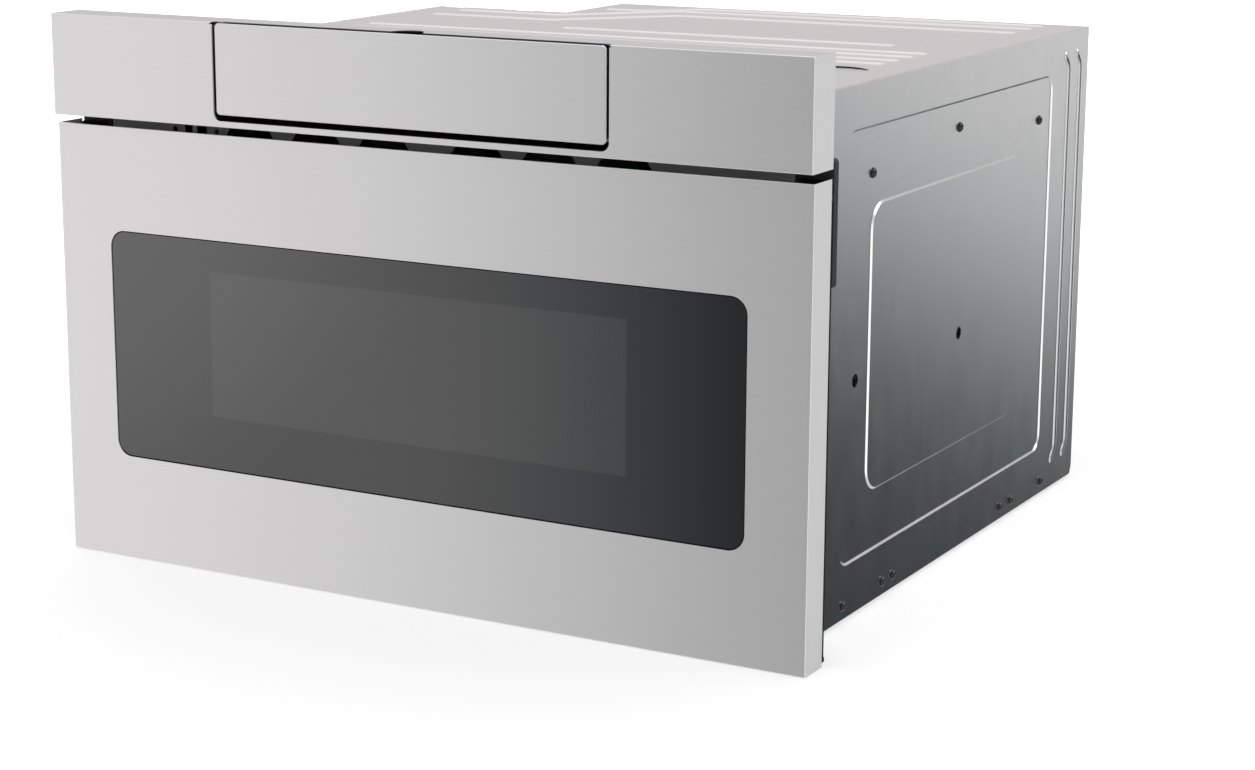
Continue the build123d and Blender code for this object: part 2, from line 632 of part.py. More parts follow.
def drawer_tray():
    """Coated steel box that holds the food, with rounded corners, a rim and a window opening in front."""
    outline = frame_rect(-TRAY_HALF, TRAY_HALF, TRAY_FRONT, TRAY_REAR, TRAY_RADIUS)
    room = frame_rect(-TRAY_HALF + TRAY_SHEET, TRAY_HALF - TRAY_SHEET, TRAY_INNER_FRONT, TRAY_INNER_REAR,
                      TRAY_RADIUS - TRAY_SHEET)
    rim = frame_rect(-TRAY_HALF - TRAY_RIM, TRAY_HALF + TRAY_RIM, TRAY_FRONT, TRAY_REAR + TRAY_RIM,
                     TRAY_RADIUS + TRAY_RIM)
    tray = facing_up(outline, TRAY_BOTTOM, TRAY_TOP)
    tray += facing_up(rim, TRAY_TOP - 2 * TRAY_SHEET, TRAY_TOP)
    tray -= facing_up(room, TRAY_FLOOR, TRAY_TOP + 1)
    tray -= facing_front(view_outline(2.0), TRAY_FRONT - 1, TRAY_INNER_FRONT + 1)
    for x, z in tray_screw_places():
        tray -= rod_y(SCREW_SHANK + SCREW_PLAY, TRAY_FRONT - 1, TRAY_INNER_FRONT + 1, x, z)
    return tray


def tray_screws():
    """Pan head screws that fasten the tray to the drawer front."""
    screws = Part()
    for x, z in tray_screw_places():
        screws += rod_y(SCREW_HEAD, TRAY_INNER_FRONT, TRAY_INNER_FRONT + SCREW_HEIGHT, x, z)
        screws += rod_y(SCREW_SHANK, SKIN_REAR, TRAY_INNER_FRONT + SCREW_HEIGHT / 2, x, z)
    return screws


def ceramic_floor():
    """Flat ceramic shelf on the tray's floor."""
    gap = TRAY_SHEET + CERAMIC_GAP
    outline = frame_rect(-TRAY_HALF + gap, TRAY_HALF - gap, TRAY_FRONT + gap, TRAY_REAR - gap,
                         TRAY_RADIUS - CERAMIC_GAP)
    shelf = facing_up(outline, TRAY_FLOOR + SEAT, FOOD_FLOOR)
    return chamfer(shelf.edges().group_by(Axis.Z)[-1], 1.0)


def latch_hooks():
    """Two hooks on the drawer front that work the interlock switches."""
    x0 = latch_x() - 4
    beak = HOOK_REACH - HOOK_ARM
    low = HOOK_ARM - 1
    profile = Polygon((0, -low), (HOOK_REACH - 4, -low), (HOOK_REACH, 0), (HOOK_REACH, low), (beak, low),
                      (beak, -1), (0, -1), align=None)
    hook = facing_side(Pos(CHOKE_REAR + SEAT, latch_z()) * profile, x0, x0 + 8)
    return both_sides(hook)


def latch_x():
    return (CAVITY_HALF + SLIDE_FACE - SLIDE_FLANGE) / 2


def latch_z():
    return SLIDE_Z + SLIDE_HEIGHT + 24


# ---------------------------------------------------------------- telescopic slides
def slide_channel(level, y0, y1):
    """One C channel of the right slide; each level nests in the one before, with running gaps."""
    web = SLIDE_FACE - level * SLIDE_STEP
    half = SLIDE_HEIGHT / 2 - level * SLIDE_STEP
    tip = SLIDE_FACE - SLIDE_FLANGE - level
    outer = frame_rect(tip, web, SLIDE_Z - half, SLIDE_Z + half)
    room = frame_rect(tip - 1, web - SLIDE_SHEET, SLIDE_Z - half + SLIDE_SHEET, SLIDE_Z + half - SLIDE_SHEET)
    channel = facing_front(outer - room, y0, y1)
    for depth in ACCESS_HOLES + [REAR_SLIDE_HOLE]:
        hole = ACCESS_RADIUS + RUN * (level + 1)
        channel -= rod_x(hole, web - SLIDE_SHEET - 1, web + 1, FRONT + depth, SLIDE_Z)
    return channel


def slide_outer():
    return slide_channel(0, SLIDE_FRONT, SLIDE_FRONT + SLIDE_LENGTH)


def slide_middle():
    return slide_channel(1, SLIDE_FRONT, SLIDE_FRONT + SLIDE_LENGTH)


def slide_inner():
    """Inner channel with a closed front end that is screwed to the drawer front."""
    y0 = CHOKE_REAR + SEAT
    channel = slide_channel(2, y0, SLIDE_FRONT + SLIDE_LENGTH - 10)
    web = SLIDE_FACE - 2 * SLIDE_STEP
    half = SLIDE_HEIGHT / 2 - 2 * SLIDE_STEP
    return channel + block(SLIDE_FACE - SLIDE_FLANGE - 2, web, y0, y0 + SLIDE_SHEET,
                           SLIDE_Z - half, SLIDE_Z + half)


# ---------------------------------------------------------------- rack and pinion drive
def rack_outline():
    """Straight-flanked rack, with a tooth space in line with the pinion."""
    slope = tan(radians(PRESSURE_ANGLE))
    tooth = PITCH / 2 - BACKLASH / 2
    start = RACK_FRONT
    end = start + RACK_LENGTH
    left = RACK_PITCH_X - RACK_WIDTH - DEDENDUM
    points = [(left, end), (left, start), (RACK_PITCH_X - DEDENDUM, start)]
    count = int((PINION_Y - start) / PITCH)
    centre = PINION_Y - PITCH / 2 - (count - 1) * PITCH
    while centre + PITCH / 2 < end:
        foot = tooth / 2 + DEDENDUM * slope
        tip = tooth / 2 - ADDENDUM * slope
        points.append((RACK_PITCH_X - DEDENDUM, centre - foot))
        points.append((RACK_PITCH_X + ADDENDUM, centre - tip))
        points.append((RACK_PITCH_X + ADDENDUM, centre + tip))
        points.append((RACK_PITCH_X - DEDENDUM, centre + foot))
        centre += PITCH
    points.append((RACK_PITCH_X - DEDENDUM, end))
    return make_face(Polyline(points, close=True))


def drive_rack():
    """Toothed bar from the drawer front back under the oven, with a foot on the drawer front."""
    rack = facing_up(rack_outline(), RACK_BOTTOM, RACK_BOTTOM + RACK_HEIGHT)
    left = RACK_PITCH_X - RACK_WIDTH - DEDENDUM
    return rack + block(left - 8, RACK_PITCH_X + 8, RACK_FRONT, RACK_FRONT + 2 * SLIDE_SHEET,
                        RACK_BOTTOM - 2, RACK_BOTTOM + RACK_HEIGHT + 2)


def involute_point(base, radius, start_angle, direction):
    """A point on a tooth flank: the involute of the base circle at the given radius."""
    roll = sqrt(max((radius / base) ** 2 - 1, 0))
    angle = start_angle + direction * (roll - atan(roll))
    return (radius * cos(angle), radius * sin(angle))


def pinion_outline():
    """Involute pinion, with one tooth pointing at the rack."""
    base = PITCH_RADIUS * cos(radians(PRESSURE_ANGLE))
    root = PITCH_RADIUS - 1.25 * MODULE
    tip = PITCH_RADIUS + ADDENDUM
    roll = tan(radians(PRESSURE_ANGLE))
    flank_turn = roll - radians(PRESSURE_ANGLE)
    half_tooth = (PITCH / 2 - BACKLASH / 2) / 2 / PITCH_RADIUS
    steps = 4
    points = []
    for number in range(PINION_TEETH):
        centre = pi + number * 2 * pi / PINION_TEETH
        low = centre - half_tooth - flank_turn
        high = centre + half_tooth + flank_turn
        points.append((root * cos(low), root * sin(low)))
        for step in range(steps + 1):
            radius = base + (tip - base) * step / steps
            points.append(involute_point(base, radius, low, 1))
        for step in range(steps, -1, -1):
            radius = base + (tip - base) * step / steps
            points.append(involute_point(base, radius, high, -1))
        points.append((root * cos(high), root * sin(high)))
    return make_face(Polyline(points, close=True))


def drive_pinion():
    """Pinion with its hub and the shaft that runs down into the gearbox."""
    place = Pos(PINION_X, PINION_Y)
    gear = facing_up(place * pinion_outline(), RACK_BOTTOM, RACK_BOTTOM + RACK_HEIGHT)
    gear += facing_up(place * Circle(PITCH_RADIUS / 2), RACK_BOTTOM - 4, RACK_BOTTOM)
    return gear + facing_up(place * Circle(PINION_SHAFT), gearbox_top() - 10, RACK_BOTTOM)


def gearbox_top():
    return RACK_BOTTOM - 4 - RUN


def drive_motor():
    """Gearbox with a socket for the pinion's shaft, and the motor can lying beside it."""
    z1 = gearbox_top()
    z0 = z1 - GEARBOX_HEIGHT
    body = facing_up(frame_rect(GEARBOX_LEFT, GEARBOX_LEFT + GEARBOX_WIDTH, PINION_Y - GEARBOX_DEPTH / 2,
                                PINION_Y + GEARBOX_DEPTH / 2, 6.0), z0, z1)
    body -= rod_z(PINION_SHAFT + PIN_FIT, z1 - 10 - RUN, z1 + 1, PINION_X, PINION_Y)
    can_z = (z0 + z1) / 2
    can_x = GEARBOX_LEFT + GEARBOX_WIDTH
    can_end = can_x + MOTOR_CAN
    body += rod_x(GEARBOX_HEIGHT / 2, can_x - 1, can_end, PINION_Y, can_z)
    return body + rod_x(5.0, can_end, can_end + 5, PINION_Y, can_z)


def motor_bracket():
    """Folded bracket that stands on the base pan, under the gearbox, and guides the rack's back."""
    top = gearbox_top() - GEARBOX_HEIGHT - SEAT
    x1 = GEARBOX_LEFT + GEARBOX_WIDTH
    rack_back = RACK_PITCH_X - RACK_WIDTH - DEDENDUM
    y0 = PINION_Y - GEARBOX_DEPTH / 2
    y1 = PINION_Y + GEARBOX_DEPTH / 2
    left = rack_back - SEAT - 2 * MOULD_WALL
    bracket = block(left, x1, y0, y1, top - SKIN_SHEET, top)
    bracket += block(x1 - SKIN_SHEET, x1, y0, y1, FLOOR_SEAT, top)
    bracket += block(left, left + SKIN_SHEET, y0, y1, FLOOR_SEAT, top)
    foot = 12.0
    bracket += block(x1, x1 + foot, y0, y1, FLOOR_SEAT, FLOOR_SEAT + SKIN_SHEET)
    bracket += block(left - foot, left, y0, y1, FLOOR_SEAT, FLOOR_SEAT + SKIN_SHEET)
    guide_top = RACK_BOTTOM + RACK_HEIGHT
    return bracket + block(left, rack_back - SEAT, y0 + 8, y1 - 8, top, guide_top)


# ---------------------------------------------------------------- case
def case_plan(inset=0.0):
    """The case's plan, with the shallow rear left corner."""
    front = FRAME_REAR + SEAT
    plan = frame_rect(-BODY_HALF + inset, BODY_HALF - inset, front, REAR - inset)
    return plan - frame_rect(-BODY_HALF - 1, STEP_X + inset, STEP_Y - inset, REAR + 1)


def base_pan():
    """Shallow pan with upright flanges, pressed ribs, air inlets and four pressed feet, which are the lowest
    points of the object."""
    wall = CASE_SHEET + SEAT / 2
    pan = facing_up(case_plan(wall), BODY_LIFT, BODY_LIFT + PAN_FLANGE)
    pan -= facing_up(case_plan(wall + CASE_SHEET), BODY_LIFT + CASE_SHEET, BODY_LIFT + PAN_FLANGE + 1)
    for x, y in foot_places():
        sole = Plane((x, y, 0)) * Circle(FOOT_RADIUS)
        neck = Plane((x, y, BODY_LIFT)) * Circle(FOOT_RADIUS + FOOT_FLARE)
        pan += loft([sole, neck])
        dish = Plane((x, y, CASE_SHEET)) * Circle(FOOT_RADIUS - CASE_SHEET)
        mouth = Plane((x, y, FLOOR_TOP)) * Circle(FOOT_RADIUS + FOOT_FLARE - CASE_SHEET)
        pan -= loft([dish, mouth])
    for number in range(PAN_RIBS):
        y = STIRRER_Y + (number - (PAN_RIBS - 1) / 2) * PAN_RIB_PITCH
        rib = swage((-CAVITY_HALF, y), (CAVITY_HALF, y))
        pan += Pos(0, 0, FLOOR_TOP) * rib
        pan -= Pos(0, 0, BODY_LIFT) * rib
    for number in range(INLET_SLOTS):
        for row in (-1, 1):
            slot_x = (number - (INLET_SLOTS - 1) / 2) * INLET_PITCH
            slot = Pos(slot_x, REAR_ROOM_Y + row * 12) * SlotOverall(INLET_PITCH - 8, 5)
            pan -= facing_up(slot, BODY_LIFT - 1, FLOOR_TOP + 1)
    for x, y, z, way in side_screw_places():
        if z < BODY_LIFT + PAN_FLANGE:
            pan -= screw_hole(x, y, z, way)
    return pan


def foot_places():
    x = CASE_HALF - 50
    return [(-x, FRAME_REAR + 60), (x, FRAME_REAR + 60), (-x, STEP_Y - 60), (x, REAR - 60)]


def side_screw_places():
    """Where the case screws go, with the side that each one enters from."""
    places = []
    for side in (-1, 1):
        deepest = (STEP_Y if side < 0 else REAR) - 2 * SCREW_HEAD
        for depth, rise in UPPER_SCREWS:
            if FRONT + depth < deepest:
                places.append((side * (BODY_HALF - PRESS_DEPTH), FRONT + depth, RAIL_BOTTOM + rise, side))
        for depth in LOWER_SCREWS:
            if FRONT + depth < deepest:
                places.append((side * BODY_HALF, FRONT + depth, LOWER_SCREW_Z, side))
    return places


def screw_hole(x, y, z, way):
    near = x + way
    far = x - way * (SCREW_LENGTH + 1)
    return rod_x(SCREW_SHANK + SCREW_PLAY, min(near, far), max(near, far), y, z)


def case_screws():
    """Domed pan head screws in both side panels."""
    screws = Part()
    for x, y, z, way in side_screw_places():
        far = x - way * SCREW_LENGTH
        screw = rod_x(SCREW_SHANK, min(x, far), max(x, far), y, z)
        head = Rot(0, 90 * way, 0) * extrude(Circle(SCREW_HEAD), SCREW_HEIGHT, taper=25)
        screws += screw + Pos(x, y, z) * head
    return screws


def pressing(face, field_rear, island_rear, grow):
    """The ring between the two nested outlines, pressed inwards from a face of the sheet."""
    edge = PRESS_SLOPE / 2 + grow
    field = frame_rect(FRONT + FIELD_FRONT - edge, field_rear + edge, FIELD_BOTTOM - edge, FIELD_TOP + edge,
                       FIELD_RADIUS + edge)
    edge -= 2 * grow
    island = frame_rect(FRONT + ISLAND_FRONT - edge, island_rear + edge, ISLAND_BOTTOM - edge,
                        ISLAND_TOP + edge, ISLAND_RADIUS + edge)
    low = extrude(Plane.YZ.offset(face) * field, -PRESS_DEPTH, taper=PRESS_WALL)
    high = extrude(Plane.YZ.offset(face - PRESS_DEPTH) * island, PRESS_DEPTH, taper=PRESS_WALL)
    return low - high


def swage(*points):
    """A raised bead on the sheet z = 0: a round bar, sunk into the sheet, along straight runs and bends."""
    path = FilletPolyline(*points, radius=BEAD_BEND) if len(points) > 2 else Polyline(*points)
    bar = sweep(Plane(origin=path @ 0, z_dir=path % 0) * Circle(BEAD_RADIUS), path)
    for point in (points[0], points[-1]):
        bar += Pos(*point) * Sphere(BEAD_RADIUS)
    bar = Pos(0, 0, BEAD_HEIGHT - BEAD_RADIUS) * bar
    return bar & block(-WIDTH, WIDTH, -DEPTH, DEPTH, -CASE_SHEET / 2, BEAD_HEIGHT + 1)


def side_panel(side, rear):
    """Galvanised side sheet with two nested pressings, rear beads, screw holes and slide access holes."""
    top = BODY_TOP - CASE_SHEET
    panel = block(CASE_HALF, BODY_HALF, FRAME_REAR + SEAT, rear, BODY_LIFT, top)
    panel = fillet(panel.edges().filter_by(Axis.Z).sort_by(Axis.X)[-2:].sort_by(Axis.Y)[-1], HEM_RADIUS)
    corner = Polygon((rear - CORNER_CUT, BODY_LIFT), (rear, BODY_LIFT), (rear, BODY_LIFT + 2 * CORNER_CUT),
                     align=None)
    panel -= facing_side(corner, CASE_HALF - 1, BODY_HALF + 1)
    field_rear = min(FRONT + FIELD_REAR, rear - FIELD_MARGIN)
    island_rear = field_rear - ISLAND_MARGIN
    bend_gain = CASE_SHEET * tan(atan(PRESS_DEPTH / PRESS_SLOPE) / 2)
    panel += pressing(CASE_HALF, field_rear, island_rear, bend_gain)
    panel -= pressing(BODY_HALF, field_rear, island_rear, 0.0)
    if rear > STEP_Y:
        outer_face = Plane(origin=(BODY_HALF, 0, 0), x_dir=(0, 1, 0), z_dir=(1, 0, 0))
        for depth in SIDE_BEADS:
            y = REAR - depth
            hook = SIDE_BEAD_HOOK
            panel += outer_face * swage((y - hook, SIDE_BEAD_TOP), (y, SIDE_BEAD_TOP - hook),
                                        (y, SIDE_BEAD_BOTTOM + hook), (y - hook, SIDE_BEAD_BOTTOM))
    for depth in ACCESS_HOLES:
        panel -= rod_x(ACCESS_RADIUS, CASE_HALF - PRESS_DEPTH - 1, BODY_HALF + 1, FRONT + depth, SLIDE_Z)
    panel = panel if side > 0 else mirrored(panel)
    for x, y, z, way in side_screw_places():
        if way == side:
            panel -= screw_hole(x, y, z, way)
    return panel


def upper_rails():
    """An angle along each side panel above the slides, which the upper screws bite into."""
    rails = Part()
    for side in (-1, 1):
        rear = (STEP_Y - FIELD_MARGIN if side < 0 else FRONT + FIELD_REAR) - 2 * PRESS_SLOPE
        front = FRONT + FIELD_FRONT + 2 * PRESS_SLOPE
        web = CASE_HALF - PRESS_DEPTH - SLIDE_BACK_GAP
        rail = block(web - SKIN_SHEET, web, front, rear, RAIL_BOTTOM, RAIL_BOTTOM + RAIL_HEIGHT)
        rail += block(web - RAIL_FLANGE, web, front, rear, RAIL_BOTTOM, RAIL_BOTTOM + SKIN_SHEET)
        rails += rail if side > 0 else mirrored(rail)
    for x, y, z, way in side_screw_places():
        if z > RAIL_BOTTOM:
            rails -= screw_hole(x, y, z, way)
    return rails


def top_panel():
    """Galvanised top sheet with cross beads, rear hook notches and an arc slit; some beads step round the
    shallow corner."""
    panel = facing_up(case_plan(), BODY_TOP - CASE_SHEET, BODY_TOP)
    for inset in TOP_HOOKS:
        x = -BODY_HALF + inset
        panel -= block(x - TOP_HOOK_WIDTH / 2, x + TOP_HOOK_WIDTH / 2, STEP_Y - TOP_HOOK_DEPTH, STEP_Y + 1,
                       BODY_TOP - CASE_SHEET - 1, BODY_TOP + 1)
    panel = fillet(panel.edges().group_by(Axis.Z)[-1], HEM_RADIUS)
    right = BODY_HALF - BEAD_INSET
    beads = [[(-right, setback), (right, setback)] for setback in CROSS_BEADS]
    beads.append([(STEP_X + SHORT_BEAD_LEFT, SHORT_BEAD), (right - SHORT_BEAD_SET, SHORT_BEAD)])
    for left_set, right_set, bend in DOGLEG_BEADS:
        shift = (left_set - right_set) * DOGLEG_LEAN
        beads.append([(-right, left_set), (STEP_X + bend, left_set), (STEP_X + bend + shift, right_set),
                      (right, right_set)])
    start, bend, end = REAR_BEAD
    beads.append([(STEP_X + start, REAR_BEAD_LEFT), (STEP_X + bend, REAR_BEAD_LEFT),
                  (STEP_X + end, REAR_BEAD_RIGHT), (right, REAR_BEAD_RIGHT)])
    for points in beads:
        panel += Pos(0, 0, BODY_TOP) * swage(*[(x, REAR - setback) for x, setback in points])
    slit_x = BODY_HALF - SLIT_INSET
    slit_y = REAR - SLIT_SETBACK
    slit = Pos(slit_x, slit_y) * (Circle(SLIT_RADIUS) - Circle(SLIT_RADIUS - SLIT_WIDTH))
    slit &= frame_rect(slit_x - SLIT_RADIUS, slit_x + SLIT_RADIUS, slit_y - SLIT_RADIUS, slit_y - SLIT_WIDTH)
    return panel - facing_up(slit, BODY_TOP - CASE_SHEET - 1, BODY_TOP + 1)


def rear_panel():
    """Rear sheet of the machine compartment, with louvre slots near the fan."""
    panel = block(STEP_X + CASE_SHEET, CASE_HALF, REAR - CASE_SHEET, REAR, BODY_LIFT, BODY_TOP - CASE_SHEET)
    for row in range(5):
        for column in range(2):
            slot = Pos(FAN_X - 22 + 44 * column, FAN_Z - 36 + 18 * row) * SlotOverall(34, 5)
            panel -= facing_front(slot, REAR - CASE_SHEET - 1, REAR + 1)
    return panel


def rear_corner_panel():
    """Folded sheet that closes the shallow corner behind the left slide, with the cord's hole."""
    top = BODY_TOP - CASE_SHEET
    panel = block(-CASE_HALF, STEP_X + CASE_SHEET, STEP_Y - CASE_SHEET, STEP_Y, BODY_LIFT, top)
    panel += block(STEP_X, STEP_X + CASE_SHEET, STEP_Y - CASE_SHEET, REAR, BODY_LIFT, top)
    return panel - rod_y(CORD_BUSH_RADIUS + PIN_FIT, STEP_Y - CASE_SHEET - 1, STEP_Y + 1, *cord_place())


def cord_place():
    return (-BODY_HALF + STEP_INSET / 2, CORD_Z)


def cord_gland():
    """Bush with a flange on each side of the sheet and a bore for the supply cord."""
    x, z = cord_place()
    bush = rod_y(CORD_BUSH_RADIUS, STEP_Y - 12, STEP_Y + 8, x, z)
    bush += rod_y(CORD_BUSH_RADIUS + 4, STEP_Y, STEP_Y + 3, x, z)
    bush += rod_y(CORD_BUSH_RADIUS + 3, STEP_Y - CASE_SHEET - 4, STEP_Y - CASE_SHEET, x, z)
    return bush - rod_y(CORD_RADIUS, STEP_Y - 13, STEP_Y + 9, x, z)


def slide_window():
    """Clearance in the front frame for the moving slide members, on the right."""
    half = SLIDE_HEIGHT / 2 - SLIDE_STEP + 1.5
    return frame_rect(SLIDE_FACE - SLIDE_FLANGE - 4, SLIDE_FACE - SLIDE_STEP + 1,
                      SLIDE_Z - half, SLIDE_Z + half)


def front_frame():
    """Front sheet round the oven's mouth, with windows for the slides, the rack and the latch hooks."""
    outline = frame_rect(-CASE_HALF + SEAT, CASE_HALF - SEAT, BODY_LIFT + CASE_SHEET + SEAT, VENT_BOTTOM - SEAT)
    outline -= frame_rect(-CAVITY_HALF, CAVITY_HALF, CAVITY_BOTTOM, CAVITY_CEILING)
    latch = frame_rect(latch_x() - 6, latch_x() + 6, latch_z() - 8, latch_z() + 8)
    outline -= slide_window() + mirror(slide_window(), about=Plane.YZ)
    outline -= latch + mirror(latch, about=Plane.YZ)
    left = RACK_PITCH_X - RACK_WIDTH - DEDENDUM
    outline -= frame_rect(left - 10, RACK_PITCH_X + 10, RACK_BOTTOM - 4, RACK_BOTTOM + RACK_HEIGHT + 4)
    frame = facing_front(outline, BODY_FRONT, FRAME_REAR)
    flange_depth = 14.0
    z0 = BODY_LIFT + PAN_FLANGE + SEAT
    flange = block(CASE_HALF - 2 * CASE_SHEET, CASE_HALF - SEAT, BODY_FRONT, FRAME_REAR + flange_depth,
                   z0, VENT_BOTTOM - SEAT)
    flange -= block(CASE_HALF - 3, CASE_HALF + 1, FRAME_REAR, FRAME_REAR + flange_depth + 1,
                    SLIDE_Z - SLIDE_HEIGHT / 2 - 2, SLIDE_Z + SLIDE_HEIGHT / 2 + 2)
    return frame + both_sides(flange)


def vent_slot():
    """An air slot with upright lower sides and a head that narrows upwards."""
    half = VENT_SLOT_WIDTH / 2
    outline = Polygon((-half, -VENT_SLOT_HEIGHT), (half, -VENT_SLOT_HEIGHT), (half, -VENT_SHOULDER),
                      (half - VENT_LEAN, 0), (-half + VENT_LEAN, 0), (-half, -VENT_SHOULDER), align=None)
    return fillet(outline.vertices(), 2.0)


def vent_plate():
    """Dark sheet above the drawer with trapezoid air slots, and a top flange under the top panel."""
    top = BODY_TOP - CASE_SHEET - SEAT
    half = BODY_HALF + VENT_LAP
    outline = frame_rect(-half, half, VENT_BOTTOM, top)
    for number in range(VENT_SLOTS):
        side = -1 if number < VENT_SLOTS / 2 else 1
        x = (number - (VENT_SLOTS - 1) / 2) * VENT_PITCH + side * VENT_MIDDLE / 2
        outline -= Pos(x, VENT_SLOT_TOP) * vent_slot()
    side_slot_z = VENT_SLOT_TOP - VENT_SLOT_HEIGHT / 2
    outline -= Pos(VENT_SIDE_X, side_slot_z) * Rectangle(VENT_SIDE_WIDTH, VENT_SLOT_HEIGHT)
    for side in (-1, 1):
        pin_x = VENT_SIDE_X + side * VENT_PIN_SPREAD
        outline -= Pos(pin_x, VENT_SLOT_TOP - VENT_PIN_DROP) * Circle(VENT_PIN_HOLE)
    plate = facing_front(outline, BODY_FRONT, FRAME_REAR)
    return plate + block(-CASE_HALF + SEAT, CASE_HALF - SEAT, BODY_FRONT, FRAME_REAR + VENT_FLANGE,
                         top - CASE_SHEET, top)


def mounting_bracket():
    """Right-hand moulding beside the body: a rimmed plate with two screw holes, a foot on the panel and a
    buffer that meets the back of the drawer front."""
    x0 = BODY_HALF + BRACKET_GAP
    x1 = WIDTH / 2
    y0 = CHOKE_REAR + SEAT + 0.1
    y1 = y0 + BRACKET_DEPTH
    plate = facing_front(frame_rect(x0, x1, BRACKET_BOTTOM, BRACKET_TOP, 3.0), y0, y1)
    hollow = frame_rect(x0 + MOULD_WALL, x1 - MOULD_WALL, BRACKET_BOTTOM + MOULD_WALL, BRACKET_TOP - MOULD_WALL)
    for z in mount_heights():
        hollow -= Pos(MOUNT_X, z) * Circle(MOUNT_HOLE_RADIUS + MOULD_WALL)
    hollow -= Pos((x0 + x1) / 2, BRACKET_Z) * Rectangle(x1 - x0, MOULD_WALL)
    plate -= facing_front(hollow, y0 + MOULD_WALL, y1 + 1)
    foot = block(BODY_HALF + SEAT, x0 + MOULD_WALL, y0 + MOULD_WALL, y1 + BRACKET_FOOT_DEPTH,
                 BRACKET_BOTTOM + 10, BRACKET_TOP - 10)
    bracket = plate + foot
    bracket += block(x1 - 2 * MOULD_WALL, x1 - SEAT, SKIN_REAR + SEAT, y0 + 1, BUFFER_Z - BUFFER_HEIGHT / 2,
                     BUFFER_Z + BUFFER_HEIGHT / 2)
    for z in mount_heights():
        bracket -= rod_y(MOUNT_HOLE_RADIUS, y0 - 1, y1 + 1, MOUNT_X, z)
    return bracket


def mount_heights():
    return (BRACKET_Z - MOUNT_SPACING / 2, BRACKET_Z + MOUNT_SPACING / 2)


# ---------------------------------------------------------------- oven and its microwave parts
def lamp_holes():
    holes = Sketch()
    for row in range(2):
        for column in range(3):
            holes += Pos(lamp_place()[0] - 9 + 9 * column, lamp_place()[1] - 4.5 + 9 * row) * Circle(2.5)
    return holes


def lamp_place():
    return (CAVITY_HALF - 60, STIRRER_Y)


def oven_cavity():
    """Coated steel box round the tray, open in front, with holes for the stirrer, lamp and steam."""
    wall = CASE_SHEET
    box = block(-CAVITY_HALF - wall, CAVITY_HALF + wall, CAVITY_FRONT, CAVITY_REAR + wall,
                CAVITY_BOTTOM - wall, CAVITY_ROOF)
    box -= block(-CAVITY_HALF, CAVITY_HALF, CAVITY_FRONT - 1, CAVITY_REAR, CAVITY_BOTTOM, CAVITY_CEILING)
    holes = Pos(0, STIRRER_Y) * Circle(14.0)
    holes += lamp_holes()
    for column in range(4):
        holes += Pos(duct_centre() - 30 + 20 * column, CAVITY_FRONT + 70) * SlotOverall(14, 4)
    return box - facing_up(holes, CAVITY_CEILING - 1, CAVITY_ROOF + 1)


def stirrer_cover():
    """Shallow moulded cover under the stirrer, which is the food room's ceiling."""
    outline = Pos(0, STIRRER_Y) * RectangleRounded(2 * COVER_HALF, 2 * COVER_HALF, 16)
    room = Pos(0, STIRRER_Y) * RectangleRounded(2 * COVER_HALF - 2 * COVER_SHEET,
                                               2 * COVER_HALF - 2 * COVER_SHEET, 16 - COVER_SHEET)
    cover = facing_up(outline, FOOD_CEILING, CAVITY_CEILING - SEAT)
    return cover - facing_up(room, FOOD_CEILING + COVER_SHEET, CAVITY_CEILING + 1)


def stirrer_antenna():
    """Thin metal fan that turns above the cover, on a shaft through the waveguide."""
    z0 = FOOD_CEILING + COVER_SHEET + 3.0
    blade = Circle(STIRRER_RADIUS) - Circle(STIRRER_RADIUS * 0.3)
    for number in range(4):
        gap = Rot(0, 0, 90 * number) * (Pos(STIRRER_RADIUS * 0.68, 0)
                                        * RectangleRounded(STIRRER_RADIUS * 0.44, 22, 5))
        blade -= gap
    blade += Circle(STIRRER_RADIUS * 0.32)
    fan = facing_up(Pos(0, STIRRER_Y) * blade, z0, z0 + 1.5)
    fan += rod_z(STIRRER_SHAFT + 4, z0, z0 + 5, 0, STIRRER_Y)
    return fan + rod_z(STIRRER_SHAFT, z0, stirrer_motor_bottom() + STIRRER_SOCKET, 0, STIRRER_Y)


def stirrer_motor_bottom():
    return ROOF_SEAT + GUIDE_HEIGHT + SEAT


def stirrer_motor():
    """Flat synchronous motor on the waveguide, with two fixing ears."""
    z0 = stirrer_motor_bottom()
    motor = rod_z(STIRRER_MOTOR_RADIUS, z0, z0 + STIRRER_MOTOR_HEIGHT, 0, STIRRER_Y)
    ears = Pos(0, STIRRER_Y) * SlotOverall(2.7 * STIRRER_MOTOR_RADIUS, STIRRER_MOTOR_RADIUS / 2)
    motor += facing_up(ears, z0, z0 + SLIDE_SHEET)
    return motor - rod_z(STIRRER_SHAFT + PIN_FIT, z0 - 1, z0 + STIRRER_SOCKET + RUN, 0, STIRRER_Y)


def waveguide():
    """Closed sheet duct from the magnetron to the stirrer, above the oven."""
    half = GUIDE_WIDTH / 2
    y0 = STIRRER_Y - half
    y1 = REAR_ROOM_REAR - 10
    wall = CASE_SHEET
    guide = block(-half, half, y0, y1, ROOF_SEAT, ROOF_SEAT + GUIDE_HEIGHT)
    guide -= block(-half + wall, half - wall, y0 + wall, y1 - wall, ROOF_SEAT + wall,
                   ROOF_SEAT + GUIDE_HEIGHT - wall)
    guide -= rod_z(14.0, ROOF_SEAT - 1, ROOF_SEAT + wall + 1, 0, STIRRER_Y)
    guide -= rod_z(STIRRER_SHAFT + RUN, ROOF_SEAT + 2, ROOF_SEAT + GUIDE_HEIGHT + 1, 0, STIRRER_Y)
    return guide - rod_z(magnetron_antenna() + 2, ROOF_SEAT - 1, ROOF_SEAT + wall + 1, 0, magnetron_y())


